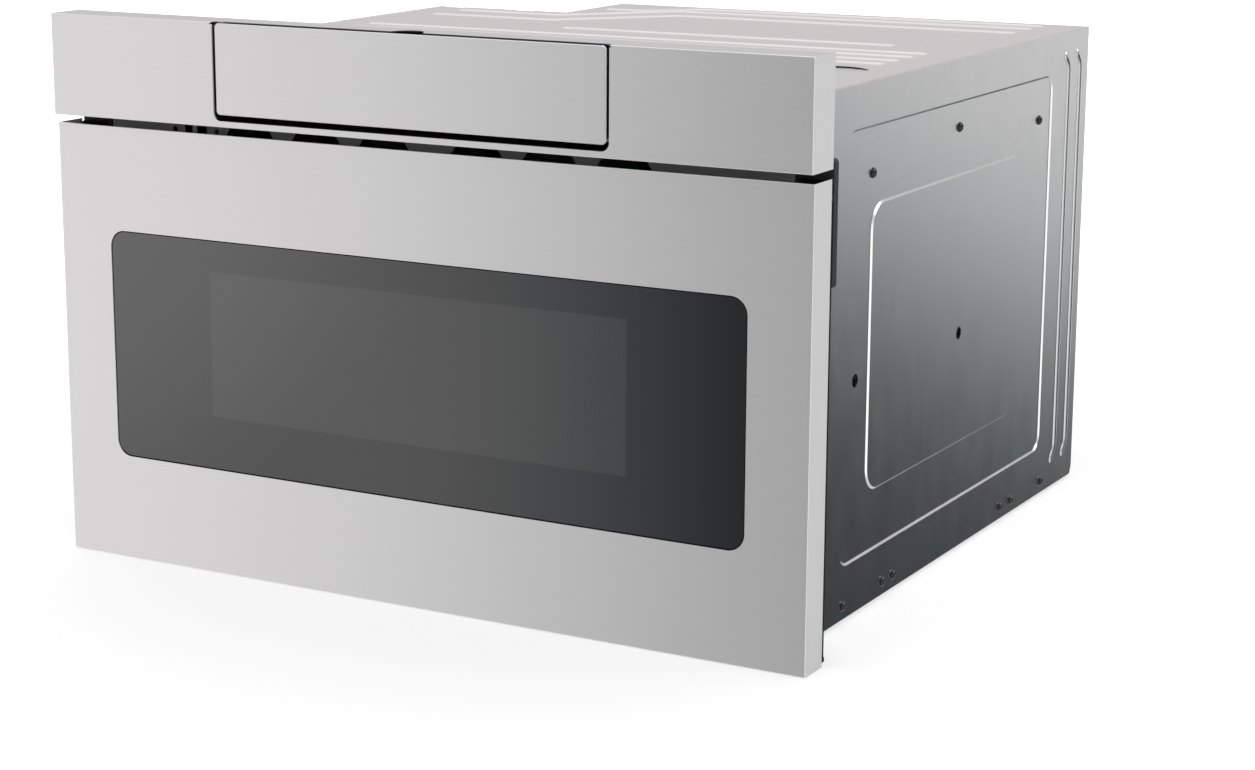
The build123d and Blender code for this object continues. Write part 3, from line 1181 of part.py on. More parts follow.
def magnetron_y():
    return REAR_ROOM_Y + 2


def magnetron():
    """Magnetron under the waveguide: antenna, yoke with cooling fins, and the filter box below."""
    half = MAGNETRON_BODY / 2
    depth = MAGNETRON_DEPTH / 2
    y = magnetron_y()
    top = ROOF_SEAT - SEAT
    low = top - MAGNETRON_HEIGHT
    yoke = frame_rect(-half, half, low, top)
    wall = 2 * CASE_SHEET
    yoke -= frame_rect(-half + wall, half - wall, low + wall, top - wall)
    body = facing_front(yoke, y - depth, y + depth)
    body += rod_z(half * 0.45, low, top, 0, y)
    pitch = MAGNETRON_HEIGHT / (MAGNETRON_FINS + 1)
    for number in range(1, MAGNETRON_FINS + 1):
        z = low + number * pitch
        body += block(-half + 1, half - 1, y - depth + 2, y + depth - 2, z - CASE_SHEET / 2, z + CASE_SHEET / 2)
    filter_half = half * 0.7
    body += block(-filter_half, filter_half, y - depth + 6, y + depth, low - MAGNETRON_FILTER, low)
    return body + rod_z(magnetron_antenna(), top, top + 0.65 * GUIDE_HEIGHT, 0, y)


def magnetron_antenna():
    return MAGNETRON_BODY / 2 * 0.215


def fan_shroud():
    """Baffle across the machine compartment with the fan's ring and the arms that hold its motor."""
    x0 = FAN_X + FAN_WIDTH / 2
    y0 = REAR_ROOM_FRONT + SEAT
    y1 = REAR_ROOM_REAR - CASE_SHEET - 2 * SEAT
    ring_out = FAN_RADIUS + FAN_TIP_GAP + 1.5
    plate = frame_rect(y0, y1, FLOOR_SEAT, FAN_Z + ring_out + 4)
    plate -= Pos(REAR_ROOM_Y, FAN_Z) * Circle(FAN_RADIUS + FAN_TIP_GAP)
    shroud = facing_side(plate, x0, x0 + 1.5)
    ring = Pos(REAR_ROOM_Y, FAN_Z) * (Circle(ring_out) - Circle(FAN_RADIUS + FAN_TIP_GAP))
    motor_face = fan_motor_face()
    shroud += facing_side(ring, FAN_X - FAN_WIDTH / 2, x0)
    arms = Sketch()
    for number in range(3):
        spoke = Pos(REAR_ROOM_Y, FAN_Z) * Rot(0, 0, 90 + 120 * number)
        arms += spoke * Pos(ring_out / 2, 0) * Rectangle(ring_out, 8)
    arms -= Pos(REAR_ROOM_Y, FAN_Z) * Circle(FAN_SHAFT + 3)
    shroud += facing_side(arms, motor_face + SEAT, motor_face + SEAT + 3)
    posts = Sketch()
    for number in range(3):
        spoke = Pos(REAR_ROOM_Y, FAN_Z) * Rot(0, 0, 90 + 120 * number)
        posts += spoke * Pos(ring_out - 1.3, 0) * Rectangle(2.4, 8)
    shroud += facing_side(posts, motor_face + SEAT, FAN_X - FAN_WIDTH / 2 + 1)
    return shroud


def fan_motor_face():
    return FAN_X - FAN_WIDTH / 2 - 8


def fan_motor():
    """Shaded pole motor: a square core, its coil and a socket for the fan's shaft."""
    face = fan_motor_face()
    y = REAR_ROOM_Y
    core = facing_side(frame_rect(y - 26, y + 26, FAN_Z - 30, FAN_Z + 22, 4), face - 18, face)
    core += facing_side(frame_rect(y - 16, y + 16, FAN_Z - 30, FAN_Z - 16, 3), face - 27, face - 18)
    core += rod_x(10, face - 24, face - 18, y, FAN_Z)
    return core - rod_x(FAN_SHAFT + PIN_FIT, face - FAN_SOCKET - 2, face + 1, y, FAN_Z)


def fan_blade():
    """One blade: steep at the hub and flatter at the tip."""
    radii = (FAN_HUB - FAN_BLADE_SHEET, FAN_RADIUS * 0.65, FAN_RADIUS)
    sections = []
    for radius, chord, pitch in zip(radii, FAN_CHORDS, (52.0, 38.0, 30.0)):
        place = Plane(origin=(0, 0, radius), x_dir=(1, 0, 0), z_dir=(0, 0, 1))
        sections.append(place * (Rot(0, 0, 90 - pitch) * Rectangle(chord, FAN_BLADE_SHEET)))
    return loft(sections, ruled=True)


def fan_impeller():
    """Axial fan moulded on its shaft, blowing along +X over the magnetron."""
    half = FAN_WIDTH / 2
    fan = facing_side(Circle(FAN_HUB), -half, half)
    for number in range(FAN_BLADES):
        blade = fan_blade() & block(-half, half, -FAN_RADIUS, FAN_RADIUS, 0, FAN_RADIUS)
        fan += Rot(360 / FAN_BLADES * number, 0, 0) * blade
    shaft_end = fan_motor_face() - FAN_X - FAN_SOCKET
    fan += facing_side(Circle(FAN_SHAFT), shaft_end, -half + 1)
    return Pos(FAN_X, REAR_ROOM_Y, FAN_Z) * fan


# ---------------------------------------------------------------- electrical parts
def high_voltage_transformer():
    """Laminated core with two coils round its middle leg and a welded foot."""
    y = REAR_ROOM_Y + 6
    leg = (TRANSFORMER_WIDTH - 2 * TRANSFORMER_WINDOW) / 4
    half = TRANSFORMER_WIDTH / 2
    z0 = FLOOR_SEAT + TRANSFORMER_FOOT
    z1 = z0 + TRANSFORMER_HEIGHT
    x = TRANSFORMER_X
    core = frame_rect(x - half, x + half, z0, z1)
    for side in (-1, 1):
        window_x = x + side * (leg + TRANSFORMER_WINDOW / 2)
        core -= Pos(window_x, (z0 + z1) / 2) * Rectangle(TRANSFORMER_WINDOW, TRANSFORMER_HEIGHT - 2 * leg)
    stack = TRANSFORMER_STACK / 2
    body = facing_front(core, y - stack, y + stack)
    coil = frame_rect(x - half + leg + 1, x + half - leg - 1, z0 + leg + 1, z1 - leg - 1, leg / 2)
    body += facing_front(coil, y - stack - COIL_OVERHANG, y - stack)
    body += facing_front(coil, y + stack, y + stack + COIL_OVERHANG)
    foot = half + leg / 2
    return body + block(x - foot, x + foot, y - stack + 6, y + stack - 6, FLOOR_SEAT, z0)


def high_voltage_capacitor():
    """Oval can with two terminals and their tabs."""
    x = CAPACITOR_X
    y = REAR_ROOM_Y + 6
    top = FLOOR_SEAT + CAPACITOR_HEIGHT
    can = facing_up(Pos(x, y) * SlotOverall(CAPACITOR_LENGTH, CAPACITOR_WIDTH, rotation=90), FLOOR_SEAT, top)
    for side in (-1, 1):
        tab_y = y + side * CAPACITOR_LENGTH / 4
        can += rod_z(4.0, top, top + 6, x, tab_y)
        can += block(x - 3, x + 3, tab_y - 0.5, tab_y + 0.5, top + 6, top + 14)
    return can


def noise_filter():
    """Supply filter board on posts on the rear panel, with a choke coil and two capacitors."""
    rear = REAR_ROOM_REAR - SEAT
    front = rear - FILTER_STAND
    x0 = FILTER_X - FILTER_WIDTH / 2
    x1 = FILTER_X + FILTER_WIDTH / 2
    z0 = FILTER_Z - FILTER_HEIGHT / 2
    z1 = FILTER_Z + FILTER_HEIGHT / 2
    board = block(x0, x1, front, front + BOARD, z0, z1)
    for x in (x0 + 6, x1 - 6):
        for z in (z0 + 6, z1 - 6):
            board += rod_y(3.0, front + BOARD, rear, x, z)
    coil = Pos(x0 + FILTER_WIDTH / 4, FILTER_Z) * (Circle(16) - Circle(7))
    board += facing_front(coil, front - 12, front)
    board += block(FILTER_X, FILTER_X + 26, front - 18, front, FILTER_Z - 18, FILTER_Z + 18)
    return board + block(FILTER_X + 34, FILTER_X + 52, front - 12, front, FILTER_Z - 14, FILTER_Z + 14)


def board_area():
    """The power board's carrier on the oven's roof: left, right, front and rear."""
    front = CAVITY_FRONT + BOARD_TRAY_SETBACK
    return (BOARD_TRAY_LEFT, CAVITY_HALF - 4, front, front + BOARD_TRAY_DEPTH)


def board_tray():
    """Folded carrier for the power board, on the oven's roof."""
    x0, x1, y0, y1 = board_area()
    tray = block(x0, x1, y0, y1, ROOF_SEAT, ROOF_SEAT + SKIN_SHEET)
    for y in (y0, y1 - SKIN_SHEET):
        tray += block(x0, x1, y, y + SKIN_SHEET, ROOF_SEAT, ROOF_SEAT + BOARD_STAND + 2)
    for x in (x0 + 8, x1 - 8):
        for y in (y0 + 8, y1 - 8):
            tray += rod_z(3.0, ROOF_SEAT + SKIN_SHEET, ROOF_SEAT + BOARD_STAND, x, y)
    return tray


def power_board():
    """Control unit board with relays, a small transformer, capacitors and a connector."""
    x0, x1, y0, y1 = board_area()
    z = ROOF_SEAT + BOARD_STAND + SEAT
    top = z + BOARD
    board = block(x0 + 2, x1 - 2, y0 + 3, y1 - 3, z, top)
    relay_width = 16.0
    for number in range(4):
        x = x0 + 12 + number * 1.5 * relay_width
        board += block(x, x + relay_width, y0 + 14, y0 + 34, top, top + relay_width)
    board += block(x0 + 14, x0 + 52, y1 - 52, y1 - 18, top, top + 28)
    for number in range(3):
        board += rod_z(relay_width * 0.375, top, top + 18, x0 + 70 + number * relay_width, y1 - 30)
    return board + block(x1 - 26, x1 - 12, y0 + 30, y1 - 30, top, top + 10)


def duct_centre():
    return -CAVITY_HALF + DUCT_HALF + 20


def exhaust_duct():
    """Steam duct from the oven's roof forward to the air slots."""
    x = duct_centre()
    z1 = VENT_SLOT_TOP + 6
    y0 = CAVITY_FRONT
    y1 = CAVITY_FRONT + DUCT_LENGTH
    outline = Polygon((y0, ROOF_SEAT), (y1, ROOF_SEAT), (y1, ROOF_SEAT + 14), (y0 + 46, z1), (y0, z1),
                      align=None)
    room = offset(outline, -SKIN_SHEET)
    duct = facing_side(outline, x - DUCT_HALF, x + DUCT_HALF)
    duct -= facing_side(room, x - DUCT_HALF + SKIN_SHEET, x + DUCT_HALF - SKIN_SHEET)
    duct -= block(x - DUCT_HALF + 4, x + DUCT_HALF - 4, y0 - 1, y0 + SKIN_SHEET + 0.5, VENT_BOTTOM, z1 - 3)
    return duct - block(x - 44, x + 44, y0 + 58, y0 + 82, ROOF_SEAT - 1, ROOF_SEAT + SKIN_SHEET + 0.5)


def oven_lamp():
    """Lamp housing over the perforated patch of the roof."""
    x, y = lamp_place()
    lamp = facing_up(Pos(x, y) * RectangleRounded(46, 30, 5), ROOF_SEAT, ROOF_SEAT + 24)
    lamp -= facing_up(Pos(x, y) * RectangleRounded(40, 24, 3), ROOF_SEAT - 1, ROOF_SEAT + 21)
    return lamp + rod_z(6.0, ROOF_SEAT + 6, ROOF_SEAT + 22, x, y)


def thermal_cutout():
    """Disc thermostat with two tabs, on the oven's roof."""
    x, y = -CAVITY_HALF + 60, STIRRER_Y + 60
    disc = rod_z(9.0, ROOF_SEAT, ROOF_SEAT + 9, x, y)
    disc += facing_up(Pos(x, y) * SlotOverall(34, 9), ROOF_SEAT, ROOF_SEAT + 1)
    for side in (-1, 1):
        disc += block(x + side * 4 - 0.5, x + side * 4 + 0.5, y - 3, y + 3, ROOF_SEAT + 9, ROOF_SEAT + 17)
    return disc


def interlock_switches():
    """A holder at each latch window, with its snap switches and a pocket for the hook."""
    x = latch_x()
    z = latch_z()
    y0 = FRAME_REAR + SEAT
    low = z - SWITCH_HEIGHT * 0.3
    holder = block(x - 10, x + 10, y0, y0 + SWITCH_DEPTH, low, low + SWITCH_HEIGHT)
    holder -= block(x - 7, x + 7, y0 - 1, y0 + SWITCH_POCKET, z - 9, z + 9)
    for level in (10, 21):
        holder += block(x - 12, x - 10, y0 + 4, y0 + SWITCH_DEPTH - 4, z + level, z + level + 8)
    return both_sides(holder)


NODES = {
    "top_trim": top_trim,
    "trim_backing_frame": trim_backing_frame,
    "control_panel_face": control_panel_face,
    "pod_housing": pod_housing,
    "control_board": control_board,
    "control_glass": control_glass,
    "pod_pivot_pins": pod_pivot_pins,
    "drawer_front_skin": drawer_front_skin,
    "window_glass": window_glass,
    "drawer_front_core": drawer_front_core,
    "viewing_screen": viewing_screen,
    "inner_glass": inner_glass,
    "choke_frame": choke_frame,
    "drawer_tray": drawer_tray,
    "tray_screws": tray_screws,
    "ceramic_floor": ceramic_floor,
    "latch_hooks": latch_hooks,
    "slide_outer_right": slide_outer,
    "slide_outer_left": lambda: mirrored(slide_outer()),
    "slide_middle_right": slide_middle,
    "slide_middle_left": lambda: mirrored(slide_middle()),
    "slide_inner_right": slide_inner,
    "slide_inner_left": lambda: mirrored(slide_inner()),
    "drive_rack": drive_rack,
    "drive_pinion": drive_pinion,
    "drive_motor": drive_motor,
    "motor_bracket": motor_bracket,
    "base_pan": base_pan,
    "side_panel_right": lambda: side_panel(1, REAR),
    "side_panel_left": lambda: side_panel(-1, STEP_Y),
    "top_panel": top_panel,
    "upper_rails": upper_rails,
    "rear_panel": rear_panel,
    "rear_corner_panel": rear_corner_panel,
    "case_screws": case_screws,
    "cord_gland": cord_gland,
    "front_frame": front_frame,
    "vent_plate": vent_plate,
    "mounting_bracket_right": mounting_bracket,
    "mounting_bracket_left": lambda: mirrored(mounting_bracket()),
    "oven_cavity": oven_cavity,
    "stirrer_cover": stirrer_cover,
    "stirrer_antenna": stirrer_antenna,
    "stirrer_motor": stirrer_motor,
    "waveguide": waveguide,
    "magnetron": magnetron,
    "fan_shroud": fan_shroud,
    "fan_motor": fan_motor,
    "fan_impeller": fan_impeller,
    "high_voltage_transformer": high_voltage_transformer,
    "high_voltage_capacitor": high_voltage_capacitor,
    "noise_filter": noise_filter,
    "board_tray": board_tray,
    "power_board": power_board,
    "exhaust_duct": exhaust_duct,
    "oven_lamp": oven_lamp,
    "thermal_cutout": thermal_cutout,
    "interlock_switches": interlock_switches,
}

os.makedirs("parts", exist_ok=True)
for node, make in NODES.items():
    export_step(make(), f"parts/{node}.step")
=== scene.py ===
import math

import bmesh
import bpy
from mathutils import Matrix, Vector


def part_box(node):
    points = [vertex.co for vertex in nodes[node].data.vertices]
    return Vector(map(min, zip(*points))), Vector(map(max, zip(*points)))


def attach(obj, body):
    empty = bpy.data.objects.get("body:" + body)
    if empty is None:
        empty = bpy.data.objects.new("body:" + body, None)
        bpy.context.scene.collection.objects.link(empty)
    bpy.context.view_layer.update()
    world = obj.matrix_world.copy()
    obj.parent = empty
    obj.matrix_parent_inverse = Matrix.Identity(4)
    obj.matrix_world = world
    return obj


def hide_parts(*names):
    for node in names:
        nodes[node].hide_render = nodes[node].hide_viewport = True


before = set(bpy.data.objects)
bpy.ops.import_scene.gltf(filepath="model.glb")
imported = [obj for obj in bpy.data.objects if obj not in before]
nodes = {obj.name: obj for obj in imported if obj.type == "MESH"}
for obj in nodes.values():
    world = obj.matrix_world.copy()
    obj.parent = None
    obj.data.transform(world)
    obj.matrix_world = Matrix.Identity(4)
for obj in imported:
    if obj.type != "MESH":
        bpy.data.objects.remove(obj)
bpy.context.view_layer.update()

# ---- Base pan
# The pan is folded from zinc-coated steel and stands on four pressed feet.
# The same sheet, with its faint crystal spangle, makes the whole case.


def grain_group():
    """Noise stretched along the part, as a colour, a roughness and a height."""
    group = bpy.data.node_groups.new("surface grain", "ShaderNodeTree")
    face = group.interface
    for name, kind, value in (("Colour", "NodeSocketColor", (0.5, 0.5, 0.5, 1.0)),
                              ("Scale", "NodeSocketFloat", 300.0),
                              ("Stretch", "NodeSocketVector", (1.0, 1.0, 1.0)),
                              ("Colour Spread", "NodeSocketFloat", 0.1),
                              ("Roughness", "NodeSocketFloat", 0.4),
                              ("Roughness Spread", "NodeSocketFloat", 0.1)):
        face.new_socket(name, in_out="INPUT", socket_type=kind).default_value = value
    face.new_socket("Colour", in_out="OUTPUT", socket_type="NodeSocketColor")
    face.new_socket("Roughness", in_out="OUTPUT", socket_type="NodeSocketFloat")
    face.new_socket("Height", in_out="OUTPUT", socket_type="NodeSocketFloat")
    tree = group.nodes
    link = group.links.new
    inputs = tree.new("NodeGroupInput")
    outputs = tree.new("NodeGroupOutput")
    place = tree.new("ShaderNodeTexCoord")
    stretch = tree.new("ShaderNodeVectorMath")
    stretch.operation = "MULTIPLY"
    noise = tree.new("ShaderNodeTexNoise")
    noise.inputs["Detail"].default_value = 3.0
    link(place.outputs["Object"], stretch.inputs[0])
    link(inputs.outputs["Stretch"], stretch.inputs[1])
    link(stretch.outputs["Vector"], noise.inputs["Vector"])
    link(inputs.outputs["Scale"], noise.inputs["Scale"])
    centred = tree.new("ShaderNodeMath")
    centred.operation = "SUBTRACT"
    centred.inputs[1].default_value = 0.5
    link(noise.outputs["Fac"], centred.inputs[0])
    rough = tree.new("ShaderNodeMath")
    rough.operation = "MULTIPLY_ADD"
    link(centred.outputs["Value"], rough.inputs[0])
    link(inputs.outputs["Roughness Spread"], rough.inputs[1])
    link(inputs.outputs["Roughness"], rough.inputs[2])
    tone = tree.new("ShaderNodeMath")
    tone.operation = "MULTIPLY_ADD"
    tone.inputs[2].default_value = 1.0
    link(centred.outputs["Value"], tone.inputs[0])
    link(inputs.outputs["Colour Spread"], tone.inputs[1])
    shade = tree.new("ShaderNodeVectorMath")
    shade.operation = "SCALE"
    link(inputs.outputs["Colour"], shade.inputs[0])
    link(tone.outputs["Value"], shade.inputs["Scale"])
    link(shade.outputs["Vector"], outputs.inputs["Colour"])
    link(rough.outputs["Value"], outputs.inputs["Roughness"])
    link(noise.outputs["Fac"], outputs.inputs["Height"])
    return group


surface_grain = grain_group()


def finish_of(name, colour, roughness, metallic=0.0, scale=300.0, stretch=(1.0, 1.0, 1.0), spread=0.08,
              roughness_spread=0.1, bump=0.1):
    """A material whose colour, roughness and relief come from the surface grain, where they vary."""
    material = bpy.data.materials.new(name)
    material.use_nodes = True
    tree = material.node_tree
    shader = tree.nodes["Principled BSDF"]
    shader.inputs["Metallic"].default_value = metallic
    grain = tree.nodes.new("ShaderNodeGroup")
    grain.name = "grain"
    grain.node_tree = surface_grain
    grain.inputs["Colour"].default_value = (*colour, 1.0)
    grain.inputs["Scale"].default_value = scale
    grain.inputs["Stretch"].default_value = stretch
    grain.inputs["Colour Spread"].default_value = spread
    grain.inputs["Roughness"].default_value = roughness
    grain.inputs["Roughness Spread"].default_value = roughness_spread
    tree.links.new(grain.outputs["Roughness"], shader.inputs["Roughness"])
    if spread:
        tree.links.new(grain.outputs["Colour"], shader.inputs["Base Color"])
    else:
        shader.inputs["Base Color"].default_value = (*colour, 1.0)
    if bump:
        relief = tree.nodes.new("ShaderNodeBump")
        relief.inputs["Strength"].default_value = bump
        relief.inputs["Distance"].default_value = 0.0002
        tree.links.new(grain.outputs["Height"], relief.inputs["Height"])
        tree.links.new(relief.outputs["Normal"], shader.inputs["Normal"])
    return material


def coat(material, *names):
    """Gives CAD nodes a material."""
    for name in names:
        slots = nodes[name].data.materials
        slots.clear()
        slots.append(material)


def galvanised_sheet(name, colour, roughness):
    """Zinc-coated steel: a brushed base with the faint cells of the zinc."""
    material = finish_of(name, colour, roughness, metallic=1.0, scale=60.0, stretch=(1.0, 1.0, 0.4), spread=0.04,
                         roughness_spread=0.06, bump=0.01)
    tree = material.node_tree
    shader = tree.nodes["Principled BSDF"]
    place = tree.nodes.new("ShaderNodeTexCoord")
    cells = tree.nodes.new("ShaderNodeTexVoronoi")
    cells.inputs["Scale"].default_value = 120.0
    flake = tree.nodes.new("ShaderNodeMapRange")
    flake.inputs["To Min"].default_value = 0.985
    flake.inputs["To Max"].default_value = 1.01
    tint = tree.nodes.new("ShaderNodeVectorMath")
    tint.operation = "SCALE"
    tree.links.new(place.outputs["Object"], cells.inputs["Vector"])
    tree.links.new(cells.outputs["Color"], flake.inputs["Value"])
    tree.links.new(tree.nodes["grain"].outputs["Colour"], tint.inputs[0])
    tree.links.new(flake.outputs["Result"], tint.inputs["Scale"])
    tree.links.new(tint.outputs["Vector"], shader.inputs["Base Color"])
    return material


zinc_sheet = galvanised_sheet("galvanised sheet", (0.66, 0.66, 0.66), 0.24)
coat(zinc_sheet, "base_pan")

# ---- Side, rear and top panels
# Pressed and beaded sheets, screwed together at their folded edges.
# The top sheet is set lighter and a shade warmer than the others; the lighter tone is painted light on the top face.

coat(zinc_sheet, "side_panel_right", "side_panel_left", "rear_panel", "rear_corner_panel", "front_frame")
# Painted light: a lighter copy of the same zinc, for the top of the case, its seams and the slit strip.
top_sheet_painted_light = galvanised_sheet("top sheet with painted light", (0.78, 0.76, 0.76), 0.24)
coat(top_sheet_painted_light, "top_panel")

# ---- Case screws
# Pan head screws in black oxide, with a cross recess.
# Small dark domes, screwed through the folded edges of the sheets.

black_oxide = finish_of("black oxide", (0.004, 0.004, 0.005), 0.12, scale=900.0, spread=0.3, bump=0.03,
                        roughness_spread=0.04)
black_oxide.node_tree.nodes["Principled BSDF"].inputs["Specular IOR Level"].default_value = 0.3


def placed(name, mesh, material, body):
    """A finished mesh as a piece that moves with a body."""
    mesh.materials.append(material)
    piece = bpy.data.objects.new(name, mesh)
    bpy.context.scene.collection.objects.link(piece)
    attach(piece, body)
    return piece


def loose_parts(mesh):
    """The corner boxes of the separate solids in a mesh."""
    form = bmesh.new()
    form.from_mesh(mesh)
    unseen = set(form.verts)
    boxes = []
    while unseen:
        stack = [unseen.pop()]
        members = list(stack)
        while stack:
            for edge in stack.pop().link_edges:
                for vertex in edge.verts:
                    if vertex in unseen:
                        unseen.discard(vertex)
                        stack.append(vertex)
                        members.append(vertex)
        boxes.append([(min(v.co[axis] for v in members), max(v.co[axis] for v in members)) for axis in range(3)])
    form.free()
    return sorted(boxes)


def pan_head_screws():
    """Revolved pan heads and shanks, with a cross pressed into each head."""
    form = bmesh.new()
    around = 24
    profile = ((0.0000, 0.0013), (0.0007, 0.0014), (0.0012, 0.00235), (0.0021, 0.0021), (0.0030, 0.0015),
               (0.0036, 0.0007), (0.0038, 0.0), (0.0019, 0.0), (0.0019, -0.0055))
    for x_span, y_span, z_span in loose_parts(nodes["case_screws"].data):
        way = 1.0 if x_span[1] > 0 else -1.0
        outer = x_span[1] if way > 0 else -x_span[0]
        seat = outer - 0.0022
        y_mid = sum(y_span) / 2
        z_mid = sum(z_span) / 2
        rings = []
        for radius, rise in profile:
            ring = []
            for step in range(around):
                angle = 2 * math.pi * step / around
                cross = abs(math.cos(2 * angle))
                dip = 0.0009 * cross if 0.0005 < radius < 0.002 else 0.0
                ring.append(form.verts.new((way * (seat + min(rise, 0.0022) - dip), y_mid + radius * math.cos(angle),
                                            z_mid + radius * math.sin(angle))))
            rings.append(ring)
        for inner, outer_ring in zip(rings, rings[1:]):
            for step in range(around):
                after = (step + 1) % around
                form.faces.new((inner[step], inner[after], outer_ring[after], outer_ring[step]))
    bmesh.ops.remove_doubles(form, verts=form.verts, dist=0.00002)
    bmesh.ops.recalc_face_normals(form, faces=form.faces)
    mesh = bpy.data.meshes.new("pan head screws")
    form.to_mesh(mesh)
    form.free()
    mesh.shade_smooth()
    mesh.set_sharp_from_angle(angle=math.radians(50.0))
    return mesh


pan_heads = placed("pan_head_screws", pan_head_screws(), black_oxide, "case")
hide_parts("case_screws")

# ---- Slit in the top sheet
# Only a dark curved line is visible there, so both pieces are a guess at what makes it.
# A zinc strip fills the slit of the sheet, and a low black strip lies on the sheet along the line, as a painted shadow
# of the slit.


def lofted(name, outlines, closed=False):
    """A mesh through outlines with the same number of points, capped at its ends or closed on itself."""
    form = bmesh.new()
    rings = [[form.verts.new(point) for point in outline] for outline in outlines]
    for here, after in zip(rings, rings[1:] + (rings[:1] if closed else [])):
        for corner in range(len(here)):
            following = (corner + 1) % len(here)
            form.faces.new((here[corner], here[following], after[following], after[corner]))
    if not closed:
        form.faces.new(rings[0])
        form.faces.new(rings[-1])
    bmesh.ops.recalc_face_normals(form, faces=form.faces)
    mesh = bpy.data.meshes.new(name)
    form.to_mesh(mesh)
    form.free()
    return mesh


def arc_strip(name, centre, start, end, section, thin):
    """A strip with a given section of radii and heights, bent round a centre, with ends that thin out."""
    steps = 28
    outlines = []
    base = min(z for radius, z in section)
    for step in range(steps + 1):
        along = step / steps
        angle = math.radians(start + (end - start) * along)
        rise = 1.0 - thin * (2.0 * abs(along - 0.5)) ** 3
        outlines.append([(centre[0] + radius * math.cos(angle), centre[1] + radius * math.sin(angle),
                          base + (z - base) * rise) for radius, z in section])
    return lofted(name, outlines)


tongue = arc_strip("slit tongue", (0.2354, -0.0783), -169.5, -10.5,
                   ((0.01052, 0.3714), (0.01052, 0.37225), (0.01248, 0.37225), (0.01248, 0.3714)), 0.0)
placed("slit_tongue", tongue, top_sheet_painted_light, "case")
# Painted shadow: a black strip standing in for the shade inside the slit.
slit_shadow_black = finish_of("painted slit shadow", (0.006, 0.006, 0.006), 0.9, scale=3000.0, spread=0.5, bump=0.3)
slit_shadow_black.node_tree.nodes["Principled BSDF"].inputs["Specular IOR Level"].default_value = 0.05
shadow_strip_mesh = arc_strip("slit shadow strip", (0.229, -0.1124), 128.0, 51.0,
                ((0.0315, 0.3723), (0.0315, 0.3729), (0.0318, 0.3731), (0.0322, 0.3731), (0.0325, 0.3729),
                 (0.0325, 0.3723)), 0.6)
placed("slit_painted_shadow", shadow_strip_mesh, slit_shadow_black, "case")

# ---- Seams of the case
# The top sheet's side edges are taken to be hemmed, which leaves a fine rounded bead.
# The bead has the zinc of the sheet.


def edge_seam(side, rear):
    """A half-round bead along one side edge of the top sheet, thinning out at both ends."""
    sheet_low, sheet_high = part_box("top_panel")
    radius = 0.0005
    foot_z = 0.3722
    centre = sheet_high[0] - radius
    front = sheet_low[1] + 0.001
    outlines = []
    for along, size in ((0.0, 0.3), (0.004, 0.8), (0.012, 1.0), (0.5, 1.0), (0.988, 1.0), (0.996, 0.8), (1.0, 0.3)):
        y = front + (rear - front) * along
        outlines.append([(side * (centre + radius * size * math.cos(math.radians(angle))), y,
                          foot_z + radius * size * max(math.sin(math.radians(angle)), 0.0))
                         for angle in range(0, 181, 20)])
    return lofted("edge seam", outlines)


placed("edge_seam_right", edge_seam(1.0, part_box("rear_panel")[1][1]), top_sheet_painted_light, "case")
corner_setback = 0.099
placed("edge_seam_left", edge_seam(-1.0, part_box("rear_corner_panel")[1][1] - corner_setback), top_sheet_painted_light, "case")

# ---- Cord gland
# A moulded bush that snaps into the shallow rear corner.
# Its bore is left empty.

black_moulding = finish_of("black moulding", (0.028, 0.028, 0.03), 0.5, scale=1400.0, spread=0.25, bump=0.15)
coat(black_moulding, "cord_gland")

# ---- Oven box
# Welded steel, coated inside with a light grey enamel.
# The stirrer's cover in its roof is a pale moulding.

grey_enamel = finish_of("grey enamel", (0.50, 0.505, 0.51), 0.28, scale=500.0, spread=0.05, bump=0.06)
coat(grey_enamel, "oven_cavity")
pale_moulding = finish_of("pale moulding", (0.78, 0.77, 0.74), 0.45, scale=1200.0, spread=0.04)
coat(pale_moulding, "stirrer_cover", "latch_hooks", "oven_lamp")

# ---- Microwave supply
# Aluminium guide, magnetron and stirrer over the oven, with their motors and transformer.
# None of it shows unless the case is opened.

raw_aluminium = finish_of("raw aluminium", (0.72, 0.73, 0.74), 0.34, metallic=1.0, scale=40.0,
                          stretch=(1.0, 8.0, 8.0), spread=0.08)
coat(raw_aluminium, "waveguide", "stirrer_antenna", "magnetron", "high_voltage_capacitor", "exhaust_duct")
varnished_steel = finish_of("varnished steel", (0.17, 0.14, 0.12), 0.4, metallic=0.5, scale=700.0,
                            stretch=(1.0, 1.0, 6.0), spread=0.4)
coat(varnished_steel, "high_voltage_transformer", "fan_motor", "stirrer_motor", "drive_motor")
coat(raw_aluminium, "thermal_cutout", "board_tray", "motor_bracket")
coat(black_moulding, "fan_shroud", "interlock_switches")
coat(pale_moulding, "fan_impeller")

# ---- Circuit boards
# Green laminate with a darker weave of tracks.
# The touch controls, the supply filter and the power unit each have one.

green_laminate = finish_of("green laminate", (0.03, 0.16, 0.07), 0.35, scale=220.0, stretch=(6.0, 1.0, 1.0),
                           spread=0.7, bump=0.2)
coat(green_laminate, "control_board", "power_board", "noise_filter")

# ---- Drawer slides
# Three nested channels on each side in bright zinc.
# Rolled steel, so the grain runs along the travel.

bright_zinc = finish_of("bright zinc", (0.66, 0.66, 0.64), 0.28, metallic=1.0, scale=500.0,
                        stretch=(1.0, 0.02, 1.0), spread=0.12)
coat(bright_zinc, "slide_outer_right", "slide_outer_left", "slide_middle_right", "slide_middle_left",
     "slide_inner_right", "slide_inner_left", "pod_pivot_pins", "tray_screws")

# ---- Drawer drive
# A rack under the drawer and the pinion that drives it, both moulded in natural acetal.
# A dry, slightly waxy white.

acetal = finish_of("natural acetal", (0.80, 0.80, 0.77), 0.38, scale=900.0, spread=0.03)
coat(acetal, "drive_rack", "drive_pinion")

# ---- Food tray and ceramic shelf
# Enamelled steel box with a flat ceramic floor.
# The shelf is a pale glass ceramic with fine specks.

